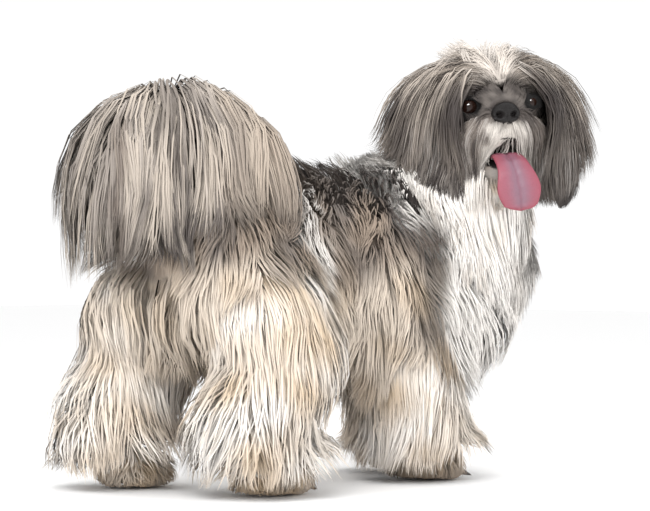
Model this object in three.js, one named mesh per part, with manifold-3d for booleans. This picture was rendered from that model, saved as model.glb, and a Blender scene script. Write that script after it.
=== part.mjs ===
// A standing shih tzu in full coat, life size, looking back over its right shoulder with its tongue out.
// Millimetres. +Z is up, +X is forward along the hips and +Y is the dog's left.
// The origin is on the floor under the middle of the whole dog.
import * as THREE from "three";
import { ConvexGeometry } from "three/addons/geometries/ConvexGeometry.js";
import { mergeVertices } from "three/addons/utils/BufferGeometryUtils.js";
import Module from "manifold-3d";

const wasm = await Module();
wasm.setup();

// Driving dimensions
const BACK_HEIGHT = 256; // floor to the skin of the back
const RUMP_X = -142;
const CHEST_X = 190;
const CHEST_WIDTH = 132;
const CHEST_DEPTH = 144;
const SPINE_BEND = 74; // how far the breastbone swings to the dog's right
const SPINE_CURVE = 1.7;
const SKULL_CENTRE = [166, -103, 324];
const HEAD_HEADING = -128; // degrees, seen from above, from the hips' forward
const HEAD_PITCH = 3;
const HEAD_ROLL = 4.5;
const SKULL_WIDTH = 96;
const EYE_RADIUS = 9.5;
const EYE_SPREAD = 28;
const CLAW_DIP = 20; // degrees that a claw points below the level
const SOLE = 1.5; // height of the lowest coat above the floor
const GAP = 0.4; // clearance between nodes
const GRID = 0.01; // vertices lie on a grid of this pitch
const SLACK = 0.06; // how far a surface may move when slivers are cleared from it
const SIDES = { core: 12, small: 8, lock: 3 };
const ROOT = 8; // how deep a lock's root sits in the core
const BELLY_HANG = 0.35; // how much deeper the coat is below the body than over its back
const CORE = 0.45; // share of the coat's depth that is solid under the locks

const V = (x, y, z) => new THREE.Vector3(x, y, z);
const DOWN = V(0, 0, -1);

// A repeatable draw of numbers from 0 to 1.
let seed = 7;
function random() {
  seed = (seed * 16807) % 2147483647;
  return seed / 2147483647;
}
const vary = (value, share) => value * (1 + share * (2 * random() - 1));

// The level directions of something that faces an angle in degrees.
function facing(degrees) {
  const a = THREE.MathUtils.degToRad(degrees);
  return {
    forward: V(Math.cos(a), Math.sin(a), 0),
    right: V(Math.sin(a), -Math.cos(a), 0),
  };
}

// The faces of an index without those that have shrunk to a line, and without pairs that lie back to back
function openFaces(index) {
  const faces = new Map();
  for (let i = 0; i < index.length; i += 3) {
    const [a, b, c] = index.subarray(i, i + 3);
    if (a === b || b === c || c === a) continue;
    const first = Math.min(a, b, c);
    const [p, q] = first === a ? [b, c] : first === b ? [c, a] : [a, b];
    const opposite = `${first} ${q} ${p}`;
    if (faces.has(opposite)) faces.delete(opposite);
    else faces.set(`${first} ${p} ${q}`, [first, p, q]);
  }
  return new Uint32Array([...faces.values()].flat());
}

// A closed three.js geometry as a manifold solid facing out.
function toSolid(geometry) {
  const bare = new THREE.BufferGeometry();
  bare.setAttribute("position", geometry.getAttribute("position"));
  bare.setIndex(geometry.index);
  const merged = mergeVertices(bare, 1e-4);
  const at = merged.attributes.position.array;
  const corners = openFaces(merged.index.array);
  const point = (i) => V(at[3 * i], at[3 * i + 1], at[3 * i + 2]);
  let volume = 0;
  for (let i = 0; i < corners.length; i += 3)
    volume += point(corners[i]).dot(point(corners[i + 1]).cross(point(corners[i + 2])));
  if (volume < 0)
    for (let i = 0; i < corners.length; i += 3)
      [corners[i + 1], corners[i + 2]] = [corners[i + 2], corners[i + 1]];
  return new wasm.Manifold(new wasm.Mesh({ numProp: 3, vertProperties: at, triVerts: corners }));
}

function toGeometry(solid) {
  const mesh = solid.getMesh();
  const at = new Float32Array(mesh.numVert * 3);
  for (let i = 0; i < mesh.numVert; i++)
    at.set(mesh.vertProperties.subarray(i * mesh.numProp, i * mesh.numProp + 3), i * 3);
  const geometry = new THREE.BufferGeometry();
  geometry.setAttribute("position", new THREE.BufferAttribute(at, 3));
  geometry.setIndex(new THREE.BufferAttribute(mesh.triVerts, 1));
  geometry.computeVertexNormals();
  return geometry;
}

// A smooth form along a spine, its sections square to the spine or to a fixed axis.
// Each station is [x, y, z, half width across, half width the other way, depth of the coat over it].
class Limb {
  constructor(stations, right, { around = SIDES.core, rings = 12, hang = 0, axis } = {}) {
    this.spine = new THREE.CatmullRomCurve3(stations.map(([x, y, z]) => V(x, y, z)));
    this.girth = new THREE.CatmullRomCurve3(stations.map(([, , , a, b, depth = 0]) => V(a, b, depth)));
    this.right = right.clone();
    this.around = around;
    this.rings = rings;
    this.hang = hang;
    this.axis = axis;
    const samples = 26;
    this.slices = Array.from({ length: samples + 1 }, (_, i) => this.slice(i / samples));
  }

  slice(t) {
    const centre = this.spine.getPoint(t);
    const along = this.axis ? this.axis.clone() : this.spine.getTangent(t);
    const across = this.right.clone().addScaledVector(along, -this.right.dot(along)).normalize();
    const girth = this.girth.getPoint(t);
    const other = across.clone().cross(along);
    return { centre, along, across, other, a: girth.x, b: girth.y, depth: girth.z };
  }

  // The point at a share of the length and an angle in degrees from the right side.
  surface(t, degrees, out = 0) {
    const s = this.slice(t);
    const angle = THREE.MathUtils.degToRad(degrees);
    const point = s.centre.clone();
    point.addScaledVector(s.across, (s.a + out) * Math.cos(angle));
    return point.addScaledVector(s.other, (s.b + out) * Math.sin(angle));
  }

  normal(t, degrees) {
    const s = this.slice(t);
    const angle = THREE.MathUtils.degToRad(degrees);
    const point = s.across.clone().multiplyScalar(Math.cos(angle) / s.a);
    return point.addScaledVector(s.other, Math.sin(angle) / s.b).normalize();
  }

  // About how far a point is outside the form, the way out and the depth of the coat there
  nearest(point) {
    let best = { distance: Infinity };
    for (const s of this.slices) {
      const offset = point.clone().sub(s.centre);
      const length = offset.length() || 1e-6;
      const ca = offset.dot(s.across) / length;
      const cb = offset.dot(s.other) / length;
      const end = 1 - ca * ca - cb * cb;
      const radius = 1 / Math.sqrt((ca / s.a) ** 2 + (cb / s.b) ** 2 + end / (s.a * s.b));
      if (length - radius < best.distance) best = { distance: length - radius, slice: s, offset, rise: cb };
    }
    const { slice: s, offset } = best;
    best.normal = s.across.clone().multiplyScalar(offset.dot(s.across) / s.a ** 2);
    best.normal.addScaledVector(s.other, offset.dot(s.other) / s.b ** 2);
    best.normal.addScaledVector(s.along, offset.dot(s.along) / (s.a * s.b)).normalize();
    best.depth = s.depth * (1 - this.hang * best.rise);
    best.limb = this;
    return best;
  }

  // The closed form, with a share of its coat's depth added.
  solid(grow = 0, share = 0) {
    const geometry = new THREE.SphereGeometry(1, this.around, this.rings);
    const at = geometry.getAttribute("position");
    for (let i = 0; i < at.count; i++) {
      const t = Math.acos(THREE.MathUtils.clamp(at.getY(i), -1, 1)) / Math.PI;
      const s = this.slice(t);
      const pole = t < 1e-6 || t > 1 - 1e-6;
      const angle = Math.atan2(at.getZ(i), at.getX(i));
      const p = s.centre.clone();
      const out = grow + share * s.depth * (1 - this.hang * Math.sin(angle));
      if (pole) p.addScaledVector(s.along, (t < 0.5 ? -1 : 1) * out);
      else {
        p.addScaledVector(s.across, (s.a + out) * Math.cos(angle));
        p.addScaledVector(s.other, (s.b + out) * Math.sin(angle));
      }
      at.setXYZ(i, p.x, p.y, p.z);
    }
    return toSolid(geometry);
  }
}

// A limb with a share of its coat's depth added.
const coated = (limb, share) => ({ solid: (grow = 0) => limb.solid(grow, share) });

// An ellipsoid, turned by a matrix that places it.
function ball(place, centre, radii, around = SIDES.small) {
  return {
    solid(grow = 0) {
      const geometry = new THREE.SphereGeometry(1, around, Math.round(around * 0.7));
      geometry.scale(radii[0] + grow, radii[1] + grow, radii[2] + grow);
      geometry.translate(...centre);
      return toSolid(geometry.applyMatrix4(place));
    },
  };
}

// Share of a lock's full width at a share of its length, from its share at the root
const taper = (share, root) => (root + (1.45 - root) * Math.min(1, 2 * share)) * (1 - share) ** 0.7;
// The three corners of a lock's section: two flat edges, and a low ridge that faces out.
const SECTION = [
  [-1, -0.35],
  [1, -0.35],
  [0, 0.65],
];

class Lock {
  constructor(path, normals, width, thickness, root) {
    Object.assign(this, { path, normals, width, thickness, root });
    this.steps = path.length - 1;
    this.folded = false;
  }

  // The three corners of the section at a place on the path. At the tip they meet.
  corners(ring, grow = 0) {
    const p = this.path[ring];
    const before = this.path[Math.max(0, ring - 1)];
    if (ring === this.steps) {
      const tip = p.clone().sub(before).setLength(3 * grow).add(p);
      return [tip, tip, tip];
    }
    const next = this.path[ring + 1].clone().sub(before).normalize();
    const across = next.clone().cross(this.normals[ring]).normalize();
    const up = across.clone().cross(next);
    const share = taper(ring / this.steps, this.root);
    const w = this.width * share;
    const h = this.thickness * (0.6 + 0.4 * share);
    return SECTION.map(([a, b]) => {
      const corner = p.clone().addScaledVector(across, a * (w + 1.5 * grow * Math.hypot(1, w / h)));
      return corner.addScaledVector(up, b * (h + 4 * grow));
    });
  }

  // The sharpest turn between two steps, in degrees
  turn() {
    const ways = this.path.slice(1).map((p, i) => p.clone().sub(this.path[i]));
    return THREE.MathUtils.radToDeg(Math.max(...ways.slice(1).map((way, i) => way.angleTo(ways[i]))));
  }

  // The lock, or the lock with a clearance all round. For a folded lock that is a hull round each step.
  solid(grow = 0) {
    return this.folded && grow > 0 ? this.hulls(grow) : this.swept(grow);
  }

  swept(grow) {
    const geometry = new THREE.ConeGeometry(1, 1, SIDES.lock, this.steps);
    const at = geometry.getAttribute("position");
    const rings = this.path.map((_, ring) => this.corners(ring, grow));
    for (let i = 0; i < at.count; i++) {
      const ring = Math.round((at.getY(i) + 0.5) * this.steps);
      const turn = Math.atan2(at.getZ(i), at.getX(i)) / (2 * Math.PI);
      const corner = rings[ring][Math.round((turn + 1) * SIDES.lock) % SIDES.lock];
      const centre = ring < this.steps && Math.hypot(at.getX(i), at.getZ(i)) < 1e-6;
      const p = centre ? this.path[ring] : corner;
      at.setXYZ(i, p.x, p.y, p.z);
    }
    return toSolid(geometry);
  }

  hulls(grow) {
    const out = 1.5 * grow;
    const ways = [V(out, 0, 0), V(-out, 0, 0), V(0, out, 0), V(0, -out, 0), V(0, 0, out), V(0, 0, -out)];
    const steps = this.path.slice(1).map((_, ring) => {
      const corners = [...this.corners(ring), ...this.corners(ring + 1)];
      return toSolid(new ConvexGeometry(corners.flatMap((corner) => ways.map((way) => corner.clone().add(way)))));
    });
    return wasm.Manifold.union(steps);
  }
}

// Everything that the coat lies over
const flesh = [];
function nearestFlesh(point) {
  let best = { distance: Infinity };
  for (const limb of flesh) {
    const near = limb.nearest(point);
    if (near.distance < best.distance) best = near;
  }
  return best;
}

// One lock from a place on a limb. It follows the lie, rises from the core to the coat's full depth, or to a
// share of it, and stays that far from the flesh. Over another limb than its own it keeps a further distance.
function growLock(limb, t, degrees, style) {
  const { length, width, thickness, lie, lift = 0.5, hug = 0, wave = 0, full = 1, over = 0 } = style;
  const { steps = 3, root = 0.7 } = style;
  const outward = limb.normal(t, degrees);
  const start = limb.surface(t, degrees);
  const base = limb.nearest(start.clone().add(outward));
  const path = [start.addScaledVector(outward, CORE * base.depth - ROOT)];
  const normals = [outward];
  const reach = (vary(length, 0.12) + ROOT) / steps;
  const rise = vary(full, 0.12);
  const phase = random() * 2 * Math.PI;
  let heading = lie(path[0], outward, 0).normalize().addScaledVector(outward, lift).normalize();
  for (let k = 1; k <= steps; k++) {
    const share = k / steps;
    const p = path[k - 1].clone().addScaledVector(heading, reach);
    const near = nearestFlesh(p);
    const depth = near.depth * rise + (near.limb === limb ? 0 : over);
    const short = depth * (CORE + (1 - CORE) * share ** 0.8) - near.distance;
    p.addScaledVector(near.normal, short > 0 ? Math.min(short, 0.8 * reach) : short * hug);
    const swing = heading.clone().cross(near.normal).normalize();
    p.addScaledVector(swing, wave * Math.sin(phase + 2.2 * k) * share);
    p.z = Math.max(p.z, SOLE + thickness * (1.2 - share));
    const moved = p.clone().sub(path[k - 1]).normalize();
    heading = moved.multiplyScalar(0.4).addScaledVector(lie(p, near.normal, share).normalize(), 0.6).normalize();
    path.push(p);
    normals.push(near.normal.clone().add(normals[k - 1]).normalize());
  }
  for (let k = 1; k < steps; k++) path[k].lerp(path[k - 1].clone().add(path[k + 1]).multiplyScalar(0.5), 0.5);
  return new Lock(path, normals, vary(width, 0.12), thickness, root);
}

// A lock that folds tightly is grown again, and left out after a few tries.
const TRIES = 4;
const MOST_TURN = 60; // degrees between two steps of a lock
const SOUND = 0.005; // cubic millimetres of a lock that may lie outside its swept clearance
function growSound(limb, t, degrees, style) {
  for (let i = 0; i < TRIES; i++) {
    const lock = growLock(limb, t, degrees, style);
    lock.folded = lock.solid().subtract(lock.solid(GAP)).volume() > SOUND;
    if (lock.turn() < MOST_TURN) return [lock];
  }
  return [];
}

// Rows of locks between two shares of a limb's length, over an arc in degrees. Each row is set off from the last,
// and none starts inside another limb.
function coat(limb, { from, to, arc, counts, ...style }) {
  const locks = [];
  counts.forEach((count, row) => {
    const t = from + ((to - from) * row) / Math.max(1, counts.length - 1);
    for (let i = 0; i < count; i++) {
      const share = (i + 0.5 + (row % 2 ? 0.2 : -0.2) + 0.2 * (random() - 0.5)) / count;
      const degrees = arc[0] + (arc[1] - arc[0]) * share;
      const root = limb.surface(t, degrees);
      const buried = flesh.some((other) => other !== limb && other.nearest(root).distance < 0);
      if (!buried) locks.push(...growSound(limb, t, degrees, style));
    }
  });
  return locks;
}

// Torso
const bend = (x) => (x > 0 ? -SPINE_BEND * (x / CHEST_X) ** SPINE_CURVE : 0);
const torsoProfile = [
  // share of the length, drop of the centre below the back, half width and half depth as shares of the chest's,
  // and the depth of the coat
  [0, 62, 0.2, 0.25, 26],
  [0.045, 60, 0.68, 0.64, 27],
  [0.15, 60, 0.86, 0.83, 27],
  [0.29, 64, 0.87, 0.85, 27],
  [0.45, 69, 0.9, 0.91, 28],
  [0.61, 72, 0.96, 0.97, 29],
  [0.75, 70, 1, 1, 31],
  [0.86, 65, 0.96, 0.97, 36],
  [0.95, 60, 0.76, 0.8, 40],
  [1, 56, 0.32, 0.36, 40],
];
const torso = new Limb(
  torsoProfile.map(([share, drop, wide, deep, coat]) => {
    const x = RUMP_X + share * (CHEST_X - RUMP_X);
    return [x, bend(x), BACK_HEIGHT - drop, (wide * CHEST_WIDTH) / 2, (deep * CHEST_DEPTH) / 2, coat];
  }),
  facing(-18).right,
  { around: 15, rings: 12, hang: BELLY_HANG },
);

// Neck, from inside the chest up and back to the skull
const neck = new Limb(
  [
    [146, -54, 192, 36, 36, 30],
    [158, -64, 220, 48, 48, 34],
    [167, -78, 256, 43, 42, 32],
    [170, -92, 282, 32, 31, 22],
    [170, -98, 296, 14, 14, 10],
  ],
  facing(-75).right,
  { around: 11, rings: 7 },
);

// Legs. Each has a foot's place, how it stands, and stations as
// [forward, outward, height, half width across, half width fore and aft, depth of the coat].
const HIND = [
  [6, -26, 196, 18, 24, 14],
  [3, -22, 178, 33, 46, 20],
  [7, -8, 146, 32, 42, 25],
  [18, 0, 116, 25, 31, 32],
  [-8, 6, 84, 18, 22, 42],
  [-22, 6, 60, 15, 18, 46],
  [-14, 3, 36, 14, 17, 42],
  [-6, 1, 22, 13, 15, 18],
];
const FORE = [
  [16, -14, 198, 16, 22, 14],
  [12, -10, 180, 27, 36, 20],
  [-4, -4, 146, 26, 32, 26],
  [-14, 2, 116, 20, 24, 34],
  [-8, 2, 80, 16, 18, 42],
  [-4, 1, 46, 15, 16, 44],
  [0, 0, 24, 14, 15, 18],
];
const LEGS = {
  hind_right: { foot: [-82, -62], turn: -8, side: -1, stations: HIND },
  hind_left: { foot: [-100, 76], turn: 10, side: 1, stations: HIND },
  front_right: { foot: [119, -65], turn: -30, side: -1, stations: FORE },
  front_left: { foot: [184, 8], turn: -24, side: 1, stations: FORE },
};
for (const leg of Object.values(LEGS)) {
  const { forward, right: aside } = facing(leg.turn);
  leg.forward = forward;
  leg.aside = aside;
  leg.at = (ahead, out, height) =>
    V(leg.foot[0], leg.foot[1], height).addScaledVector(forward, ahead).addScaledVector(aside, -out * leg.side);
  leg.limb = new Limb(
    leg.stations.map(([ahead, out, height, ...girth]) => [...leg.at(ahead, out, height).toArray(), ...girth]),
    aside,
    { around: 11, rings: 9, axis: DOWN },
  );
}

// Tail, up from the croup and forward over the back
const tail = new Limb(
  [
    [-104, 0, 232, 15, 15, 16],
    [-126, 6, 258, 15, 14, 20],
    [-142, 12, 292, 12, 12, 24],
    [-132, 10, 318, 11, 11, 26],
    [-104, 0, 322, 10, 10, 26],
    [-76, -14, 311, 8, 8, 22],
    [-56, -24, 298, 4, 4, 14],
  ],
  facing(-10).right,
  { around: 9, rings: 10 },
);

// Head: its own level frame, with x ahead, y to its left and z up, placed on the neck.
const headFrame = new THREE.Matrix4()
  .makeTranslation(...SKULL_CENTRE)
  .multiply(new THREE.Matrix4().makeRotationZ(THREE.MathUtils.degToRad(HEAD_HEADING)))
  .multiply(new THREE.Matrix4().makeRotationY(THREE.MathUtils.degToRad(-HEAD_PITCH)))
  .multiply(new THREE.Matrix4().makeRotationX(THREE.MathUtils.degToRad(HEAD_ROLL)));
const onHead = (x, y, z) => V(x, y, z).applyMatrix4(headFrame);
const headWay = (x, y, z) => V(x, y, z).transformDirection(headFrame);
const headLimb = (stations, options, right = headWay(0, -1, 0)) =>
  new Limb(
    stations.map(([x, y, z, ...girth]) => [...onHead(x, y, z).toArray(), ...girth]),
    right,
    options,
  );
const HALF_SKULL = SKULL_WIDTH / 2;
const skull = headLimb(
  [
    [-48, 0, 4, 10, 10, 10],
    [-38, 0, 4, 32, 33, 14],
    [-14, 0, 4, HALF_SKULL - 1, 42, 17],
    [10, 0, 3, HALF_SKULL, 40, 14],
    [28, 0, -2, 40, 33, 5],
    [38, 0, -6, 22, 20, 1],
  ],
  { around: 14, rings: 9 },
);
const muzzle = headLimb(
  [
    [16, 0, -14, 26, 18],
    [32, 0, -16, 30, 17],
    [47, 0, -16, 27, 13],
    [54, 0, -15, 14, 8],
  ],
  { around: 13, rings: 6 },
);
const jaw = headLimb(
  [
    [-6, 0, -36, 14, 10],
    [10, 0, -44, 25, 11],
    [28, 0, -54, 22, 9],
    [42, 0, -60, 17, 8],
    [48, 0, -61, 8, 5],
  ],
  { around: 11, rings: 6 },
);
const tongue = headLimb(
  [
    [16, 0, -44, 6, 2],
    [26, 0, -44, 14, 3.5],
    [42, 1, -45, 16, 3.5],
    [54, 3, -56, 18, 3.5],
    [57, 5, -74, 20, 3.5],
    [55, 7, -88, 15, 3],
    [54, 7, -93, 5, 1.5],
  ],
  { around: 10, rings: 10 },
);

// Ears, which hang from the sides of the skull
const ear = (y) =>
  headLimb(
    [
      [-12, y * 46, 26, 10, 4, 4],
      [-13, y * 57, 12, 18, 5, 7],
      [-14, y * 63, -12, 22, 5, 10],
      [-15, y * 65, -40, 18, 5, 10],
      [-15, y * 64, -60, 6, 3, 8],
    ],
    { around: 9, rings: 6 },
    headWay(-1, 0, 0),
  );
const EARS = { right: ear(-1), left: ear(1) };

flesh.push(EARS.right, EARS.left);
flesh.push(torso, neck, skull, muzzle, jaw, tail, ...Object.values(LEGS).map((leg) => leg.limb));

// Nodes, in order. Each keeps clear of those made before it.
const model = new THREE.Group();
const claimed = [];
const union = (pieces, grow = 0) => wasm.Manifold.union(pieces.map((piece) => piece.solid(grow)));
const touches = (a, b) => [0, 1, 2].every((i) => a.min[i] < b.max[i] && b.min[i] < a.max[i]);

// Draws together the ends of each edge that two parts of a surface share, and says whether there were any.
function closeTouching(at, index) {
  const key = (i) => at.subarray(3 * i, 3 * i + 3).join();
  const seen = new Set();
  const moves = new Map();
  index.forEach((from, i) => {
    const to = index[i % 3 === 2 ? i - 2 : i + 1];
    const edge = `${key(from)} ${key(to)}`;
    if (seen.has(edge) && !moves.has(key(from))) moves.set(key(to), at.slice(3 * from, 3 * from + 3));
    seen.add(edge);
  });
  for (let i = 0; i < at.length / 3; i++) if (moves.has(key(i))) at.set(moves.get(key(i)), 3 * i);
  return moves.size > 0;
}

// The largest closed surface of a solid, cleared of slivers, its vertices on a fine grid. Hollows are dropped.
const PASSES = 6;
function settle(solid) {
  let body = solid.simplify(SLACK);
  for (let pass = 0; pass < PASSES; pass++) {
    const mesh = body.getMesh();
    const at = mesh.vertProperties.map((value) => Math.round(value / GRID) * GRID);
    const touching = pass > 0 && closeTouching(at, mesh.triVerts);
    const geometry = new THREE.BufferGeometry();
    geometry.setAttribute("position", new THREE.BufferAttribute(at, 3));
    geometry.setIndex(new THREE.BufferAttribute(mesh.triVerts, 1));
    const surfaces = toSolid(geometry).decompose();
    body = surfaces.sort((a, b) => b.volume() - a.volume())[0];
    if (pass > 0 && !touching) return body;
  }
  throw new Error("two parts of a surface touch");
}

// The space that a body's pieces keep clear. Where folds leave some of the body bare, a box round that joins it.
function clearance(body, pieces) {
  const grown = union(pieces, GAP);
  const boxes = body.subtract(grown).decompose().map((bare) => {
    const { min, max } = bare.boundingBox();
    const size = max.map((value, i) => value - min[i] + 2 * GAP);
    const geometry = new THREE.BoxGeometry(...size);
    return toSolid(geometry.translate(...max.map((value, i) => (value + min[i]) / 2)));
  });
  return wasm.Manifold.union([grown, ...boxes]);
}

function addNode(name, look, pieces, { cuts = [], flat = false } = {}) {
  let body = union(pieces);
  if (cuts.length) body = body.subtract(union(cuts));
  const box = body.boundingBox();
  const near = claimed.filter((other) => touches(other.box, box)).map((other) => other.solid);
  if (near.length) body = body.subtract(wasm.Manifold.union(near));
  if (flat) body = body.trimByPlane([0, 0, 1], 0);
  body = settle(body);
  const grown = clearance(body, pieces);
  claimed.push({ solid: grown, box: grown.boundingBox() });
  const [colour, roughness] = look;
  const material = new THREE.MeshStandardMaterial({ color: colour, roughness, metalness: 0 });
  const mesh = new THREE.Mesh(toGeometry(body), material);
  mesh.name = name;
  model.add(mesh);
  return mesh;
}

// Looks: colour and roughness
const CREAM = ["#ddd0c2", 0.85];
const SILVER = ["#b9aea3", 0.85];
const GREY = ["#7d7268", 0.85];
const DARK = ["#5f5851", 0.85];
const WHITE = ["#ece4dc", 0.85];
const EYE = ["#1a0f0c", 0.08];
const NOSE = ["#2b2827", 0.45];
const TONGUE = ["#d98a9c", 0.4];
const CLAW = ["#3a322d", 0.4];

// Ways that the coat lies. Each takes a place, the way out of the flesh and the share of the lock's length.
const along = (normal, way) => way.clone().addScaledVector(normal, -way.dot(normal));
const fall = (drop, way) => (p, n) => along(n, DOWN).addScaledVector(DOWN, drop).add(way);
const spill = (way, until) => (p, n, share) =>
  DOWN.clone().addScaledVector(way, Math.max(0, 1 - share / until) ** 2 * 2.4);

// Eyes, nose and tongue
for (const [side, y] of [["right", -1], ["left", 1]])
  addNode(`eye_${side}`, EYE, [ball(headFrame, [34, y * EYE_SPREAD, 1], Array(3).fill(EYE_RADIUS), 10)]);
addNode("nose", NOSE, [ball(headFrame, [54, 0, -8], [7, 13, 8.5], 10)], {
  cuts: [-1, 1].map((y) => ball(headFrame, [61, y * 6, -10], [5, 3, 2.6], 7)),
});
addNode("tongue", TONGUE, [tongue]);

// Head: lids round the eyes, lips round the mouth, and hair that parts at the crown
const lids = [-1, 1].map((y) => ball(headFrame, [33, y * EYE_SPREAD, 1], [11.5, 13, 12], 8));
const lidOpenings = [-1, 1].map((y) => ball(headFrame, [44, y * (EYE_SPREAD + 1), 1], [9, 10.5, 7.5], 7));
const mouth = ball(headFrame, [40, 0, -42], [24, 18, 13], 9);
const lip = (wide, front, height, drop) =>
  headLimb(
    [
      [front - 28, -wide, height, 3, 3],
      [front - 10, -wide, height - drop, 3.5, 3.5],
      [front, 0, height - drop, 3, 3],
      [front - 10, wide, height - drop, 3.5, 3.5],
      [front - 28, wide, height, 3, 3],
    ],
    { around: 6, rings: 8 },
    headWay(0, 0, 1),
  );
const level = (y) => headWay(0, y, 0);
const headSides = [-1, 1].flatMap((y) => {
  const arc = (top, bottom) => (y < 0 ? [top, bottom] : [180 - top, 180 - bottom]);
  const curtain = { width: 21, thickness: 5, lift: 0.2, hug: 0.7, wave: 2, full: 0.9, over: 3, steps: 4, root: 0.5 };
  return [
    ...coat(skull, {
      ...curtain, from: 0.24, to: 0.6, arc: arc(84, 16), counts: [2, 2, 2], length: 92,
      lie: fall(0.5, level(y).multiplyScalar(0.1)),
    }),
    ...coat(skull, {
      ...curtain, from: 0.72, to: 0.76, arc: arc(0, -34), counts: [1, 1], length: 66, width: 13,
      lie: fall(0.6, level(y).multiplyScalar(0.1)),
    }),
    ...coat(muzzle, {
      from: 0.6, to: 0.6, arc: arc(0, -56), counts: [3], length: 46, width: 9, thickness: 5, lift: 0.4,
      lie: fall(0.5, level(y).multiplyScalar(0.5)),
    }),
  ];
});
const nape = coat(skull, {
  from: 0.14, to: 0.14, arc: [150, 30], counts: [3], length: 56, width: 20, thickness: 6, lift: 0.2, hug: 0.4,
  over: 2, lie: fall(0.6, headWay(-0.4, 0, 0)),
});
const topknot = coat(skull, {
  from: 0.56, to: 0.56, arc: [102, 72], counts: [2], length: 18, width: 8, thickness: 6, lift: 2, full: 1.4,
  lie: () => headWay(-0.8, 0.5, 0.3),
});
addNode("head", GREY, [
  coated(skull, CORE), muzzle, ...lids, lip(23, 50, -29, -1), ...headSides, ...nape, ...topknot,
], { cuts: [...lidOpenings, mouth] });
const beard = coat(jaw, {
  from: 0.6, to: 0.6, arc: [340, 200], counts: [5], length: 34, width: 9, thickness: 5, lift: 0.2,
  lie: fall(0.8, V(0, 0, 0)),
});
addNode("lower_jaw", WHITE, [jaw, lip(15, 46, -48, 6), ...beard], { cuts: [mouth] });

// Ears, hollow on the side that faces the skull, with long hair over the outside
for (const [side, y] of [["right", -1], ["left", 1]]) {
  const hair = coat(EARS[side], {
    from: 0.42, to: 0.82, arc: y < 0 ? [0, 180] : [360, 180], counts: [2, 2], length: 54, width: 18,
    thickness: 6, lift: 0.3, wave: 2, lie: fall(0.8, V(0, 0, 0)),
  });
  const cup = ball(headFrame, [-12, y * 56, -10], [12, 5, 20], 8);
  addNode(`ear_${side}`, DARK, [EARS[side], ...hair], { cuts: [cup] });
}

// A claw that points ahead and down from its root
const claw = (place, root) => ({
  solid(grow = 0) {
    const geometry = new THREE.ConeGeometry(2.6 + 2 * grow, 10 + 4 * grow, 4);
    geometry.translate(0, 5 - 2 * grow, 0);
    geometry.rotateZ(-Math.PI / 2);
    geometry.rotateY(THREE.MathUtils.degToRad(CLAW_DIP));
    geometry.translate(...root);
    return toSolid(geometry.applyMatrix4(place));
  },
});

// Paws, each flat on the floor with four toes and a claw on each
for (const [name, leg] of Object.entries(LEGS)) {
  const place = new THREE.Matrix4()
    .makeTranslation(leg.foot[0], leg.foot[1], 0)
    .multiply(new THREE.Matrix4().makeRotationZ(THREE.MathUtils.degToRad(leg.turn)));
  const toes = [-1.5, -0.5, 0.5, 1.5].map((i) => [25 - 3.5 * Math.abs(i), i * 10]);
  toes.forEach(([x, y], i) => addNode(`claw_${name}_${i + 1}`, CLAW, [claw(place, [x + 13, y, 7])]));
  const pads = toes.map(([x, y]) => ball(place, [x, y, 9], [15, 7, 12], 6));
  const foot = new Limb(
    [
      [...leg.at(3, 0, 34).toArray(), 12, 14],
      [...leg.at(4, 0, 22).toArray(), 21, 25],
      [...leg.at(4, 0, 6).toArray(), 21, 25],
      [...leg.at(4, 0, -9).toArray(), 12, 16],
    ],
    leg.aside,
    { around: 9, rings: 5, axis: DOWN },
  );
  addNode(`paw_${name}`, CREAM, [foot, ...pads], { flat: true });
}

// Legs, with bells of hair that hang to the feet
for (const [name, leg] of Object.entries(LEGS)) {
  const bell = coat(leg.limb, {
    from: 0.42, to: 0.84, arc: [0, 360], counts: [4, 5, 5], length: 62, width: 25, thickness: 7, lift: 0.35,
    hug: 0.6, wave: 3, lie: fall(0.5, V(0, 0, 0)),
  });
  addNode(`leg_${name}`, CREAM, [coated(leg.limb, CORE), ...bell]);
}

// Tail, with the plume's hair falling on both sides
const backLeft = facing(140).forward;
const outRight = facing(-100).forward;
const outBack = facing(-160).forward;
const plume = { width: 18, thickness: 7, lift: 0.6, hug: 0.15, wave: 4, over: 9, steps: 5, root: 0.3 };
const plumeLocks = [
  ...coat(tail, {
    ...plume, from: 0.36, to: 0.6, arc: [150, 215], counts: [2, 2, 3], length: 150, lie: spill(backLeft, 0.5),
  }),
  ...coat(tail, {
    ...plume, from: 0.34, to: 0.5, arc: [40, 120], counts: [2, 1], length: 135, lie: spill(outBack, 0.4),
  }),
  ...coat(tail, {
    ...plume, from: 0.54, to: 0.96, arc: [-10, 50], counts: [2, 2, 2, 2], length: 128, lie: spill(outRight, 0.5),
  }),
];
addNode("tail", SILVER, [coated(tail, CORE), ...plumeLocks]);

// Neck, with the ruff
const ruff = { width: 24, thickness: 7, lift: 0.2, hug: 0.8, wave: 3, full: 0.85, over: 2, lie: fall(0.3, V(0, 0, 0)) };
const ruffLocks = [
  ...coat(neck, { ...ruff, from: 0.4, to: 0.6, arc: [190, 350], counts: [4, 3], length: 74 }),
  ...coat(neck, { ...ruff, from: 0.5, to: 0.5, arc: [60, 120], counts: [2], length: 56 }),
];
addNode("neck", WHITE, [coated(neck, CORE), ...ruffLocks]);

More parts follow.
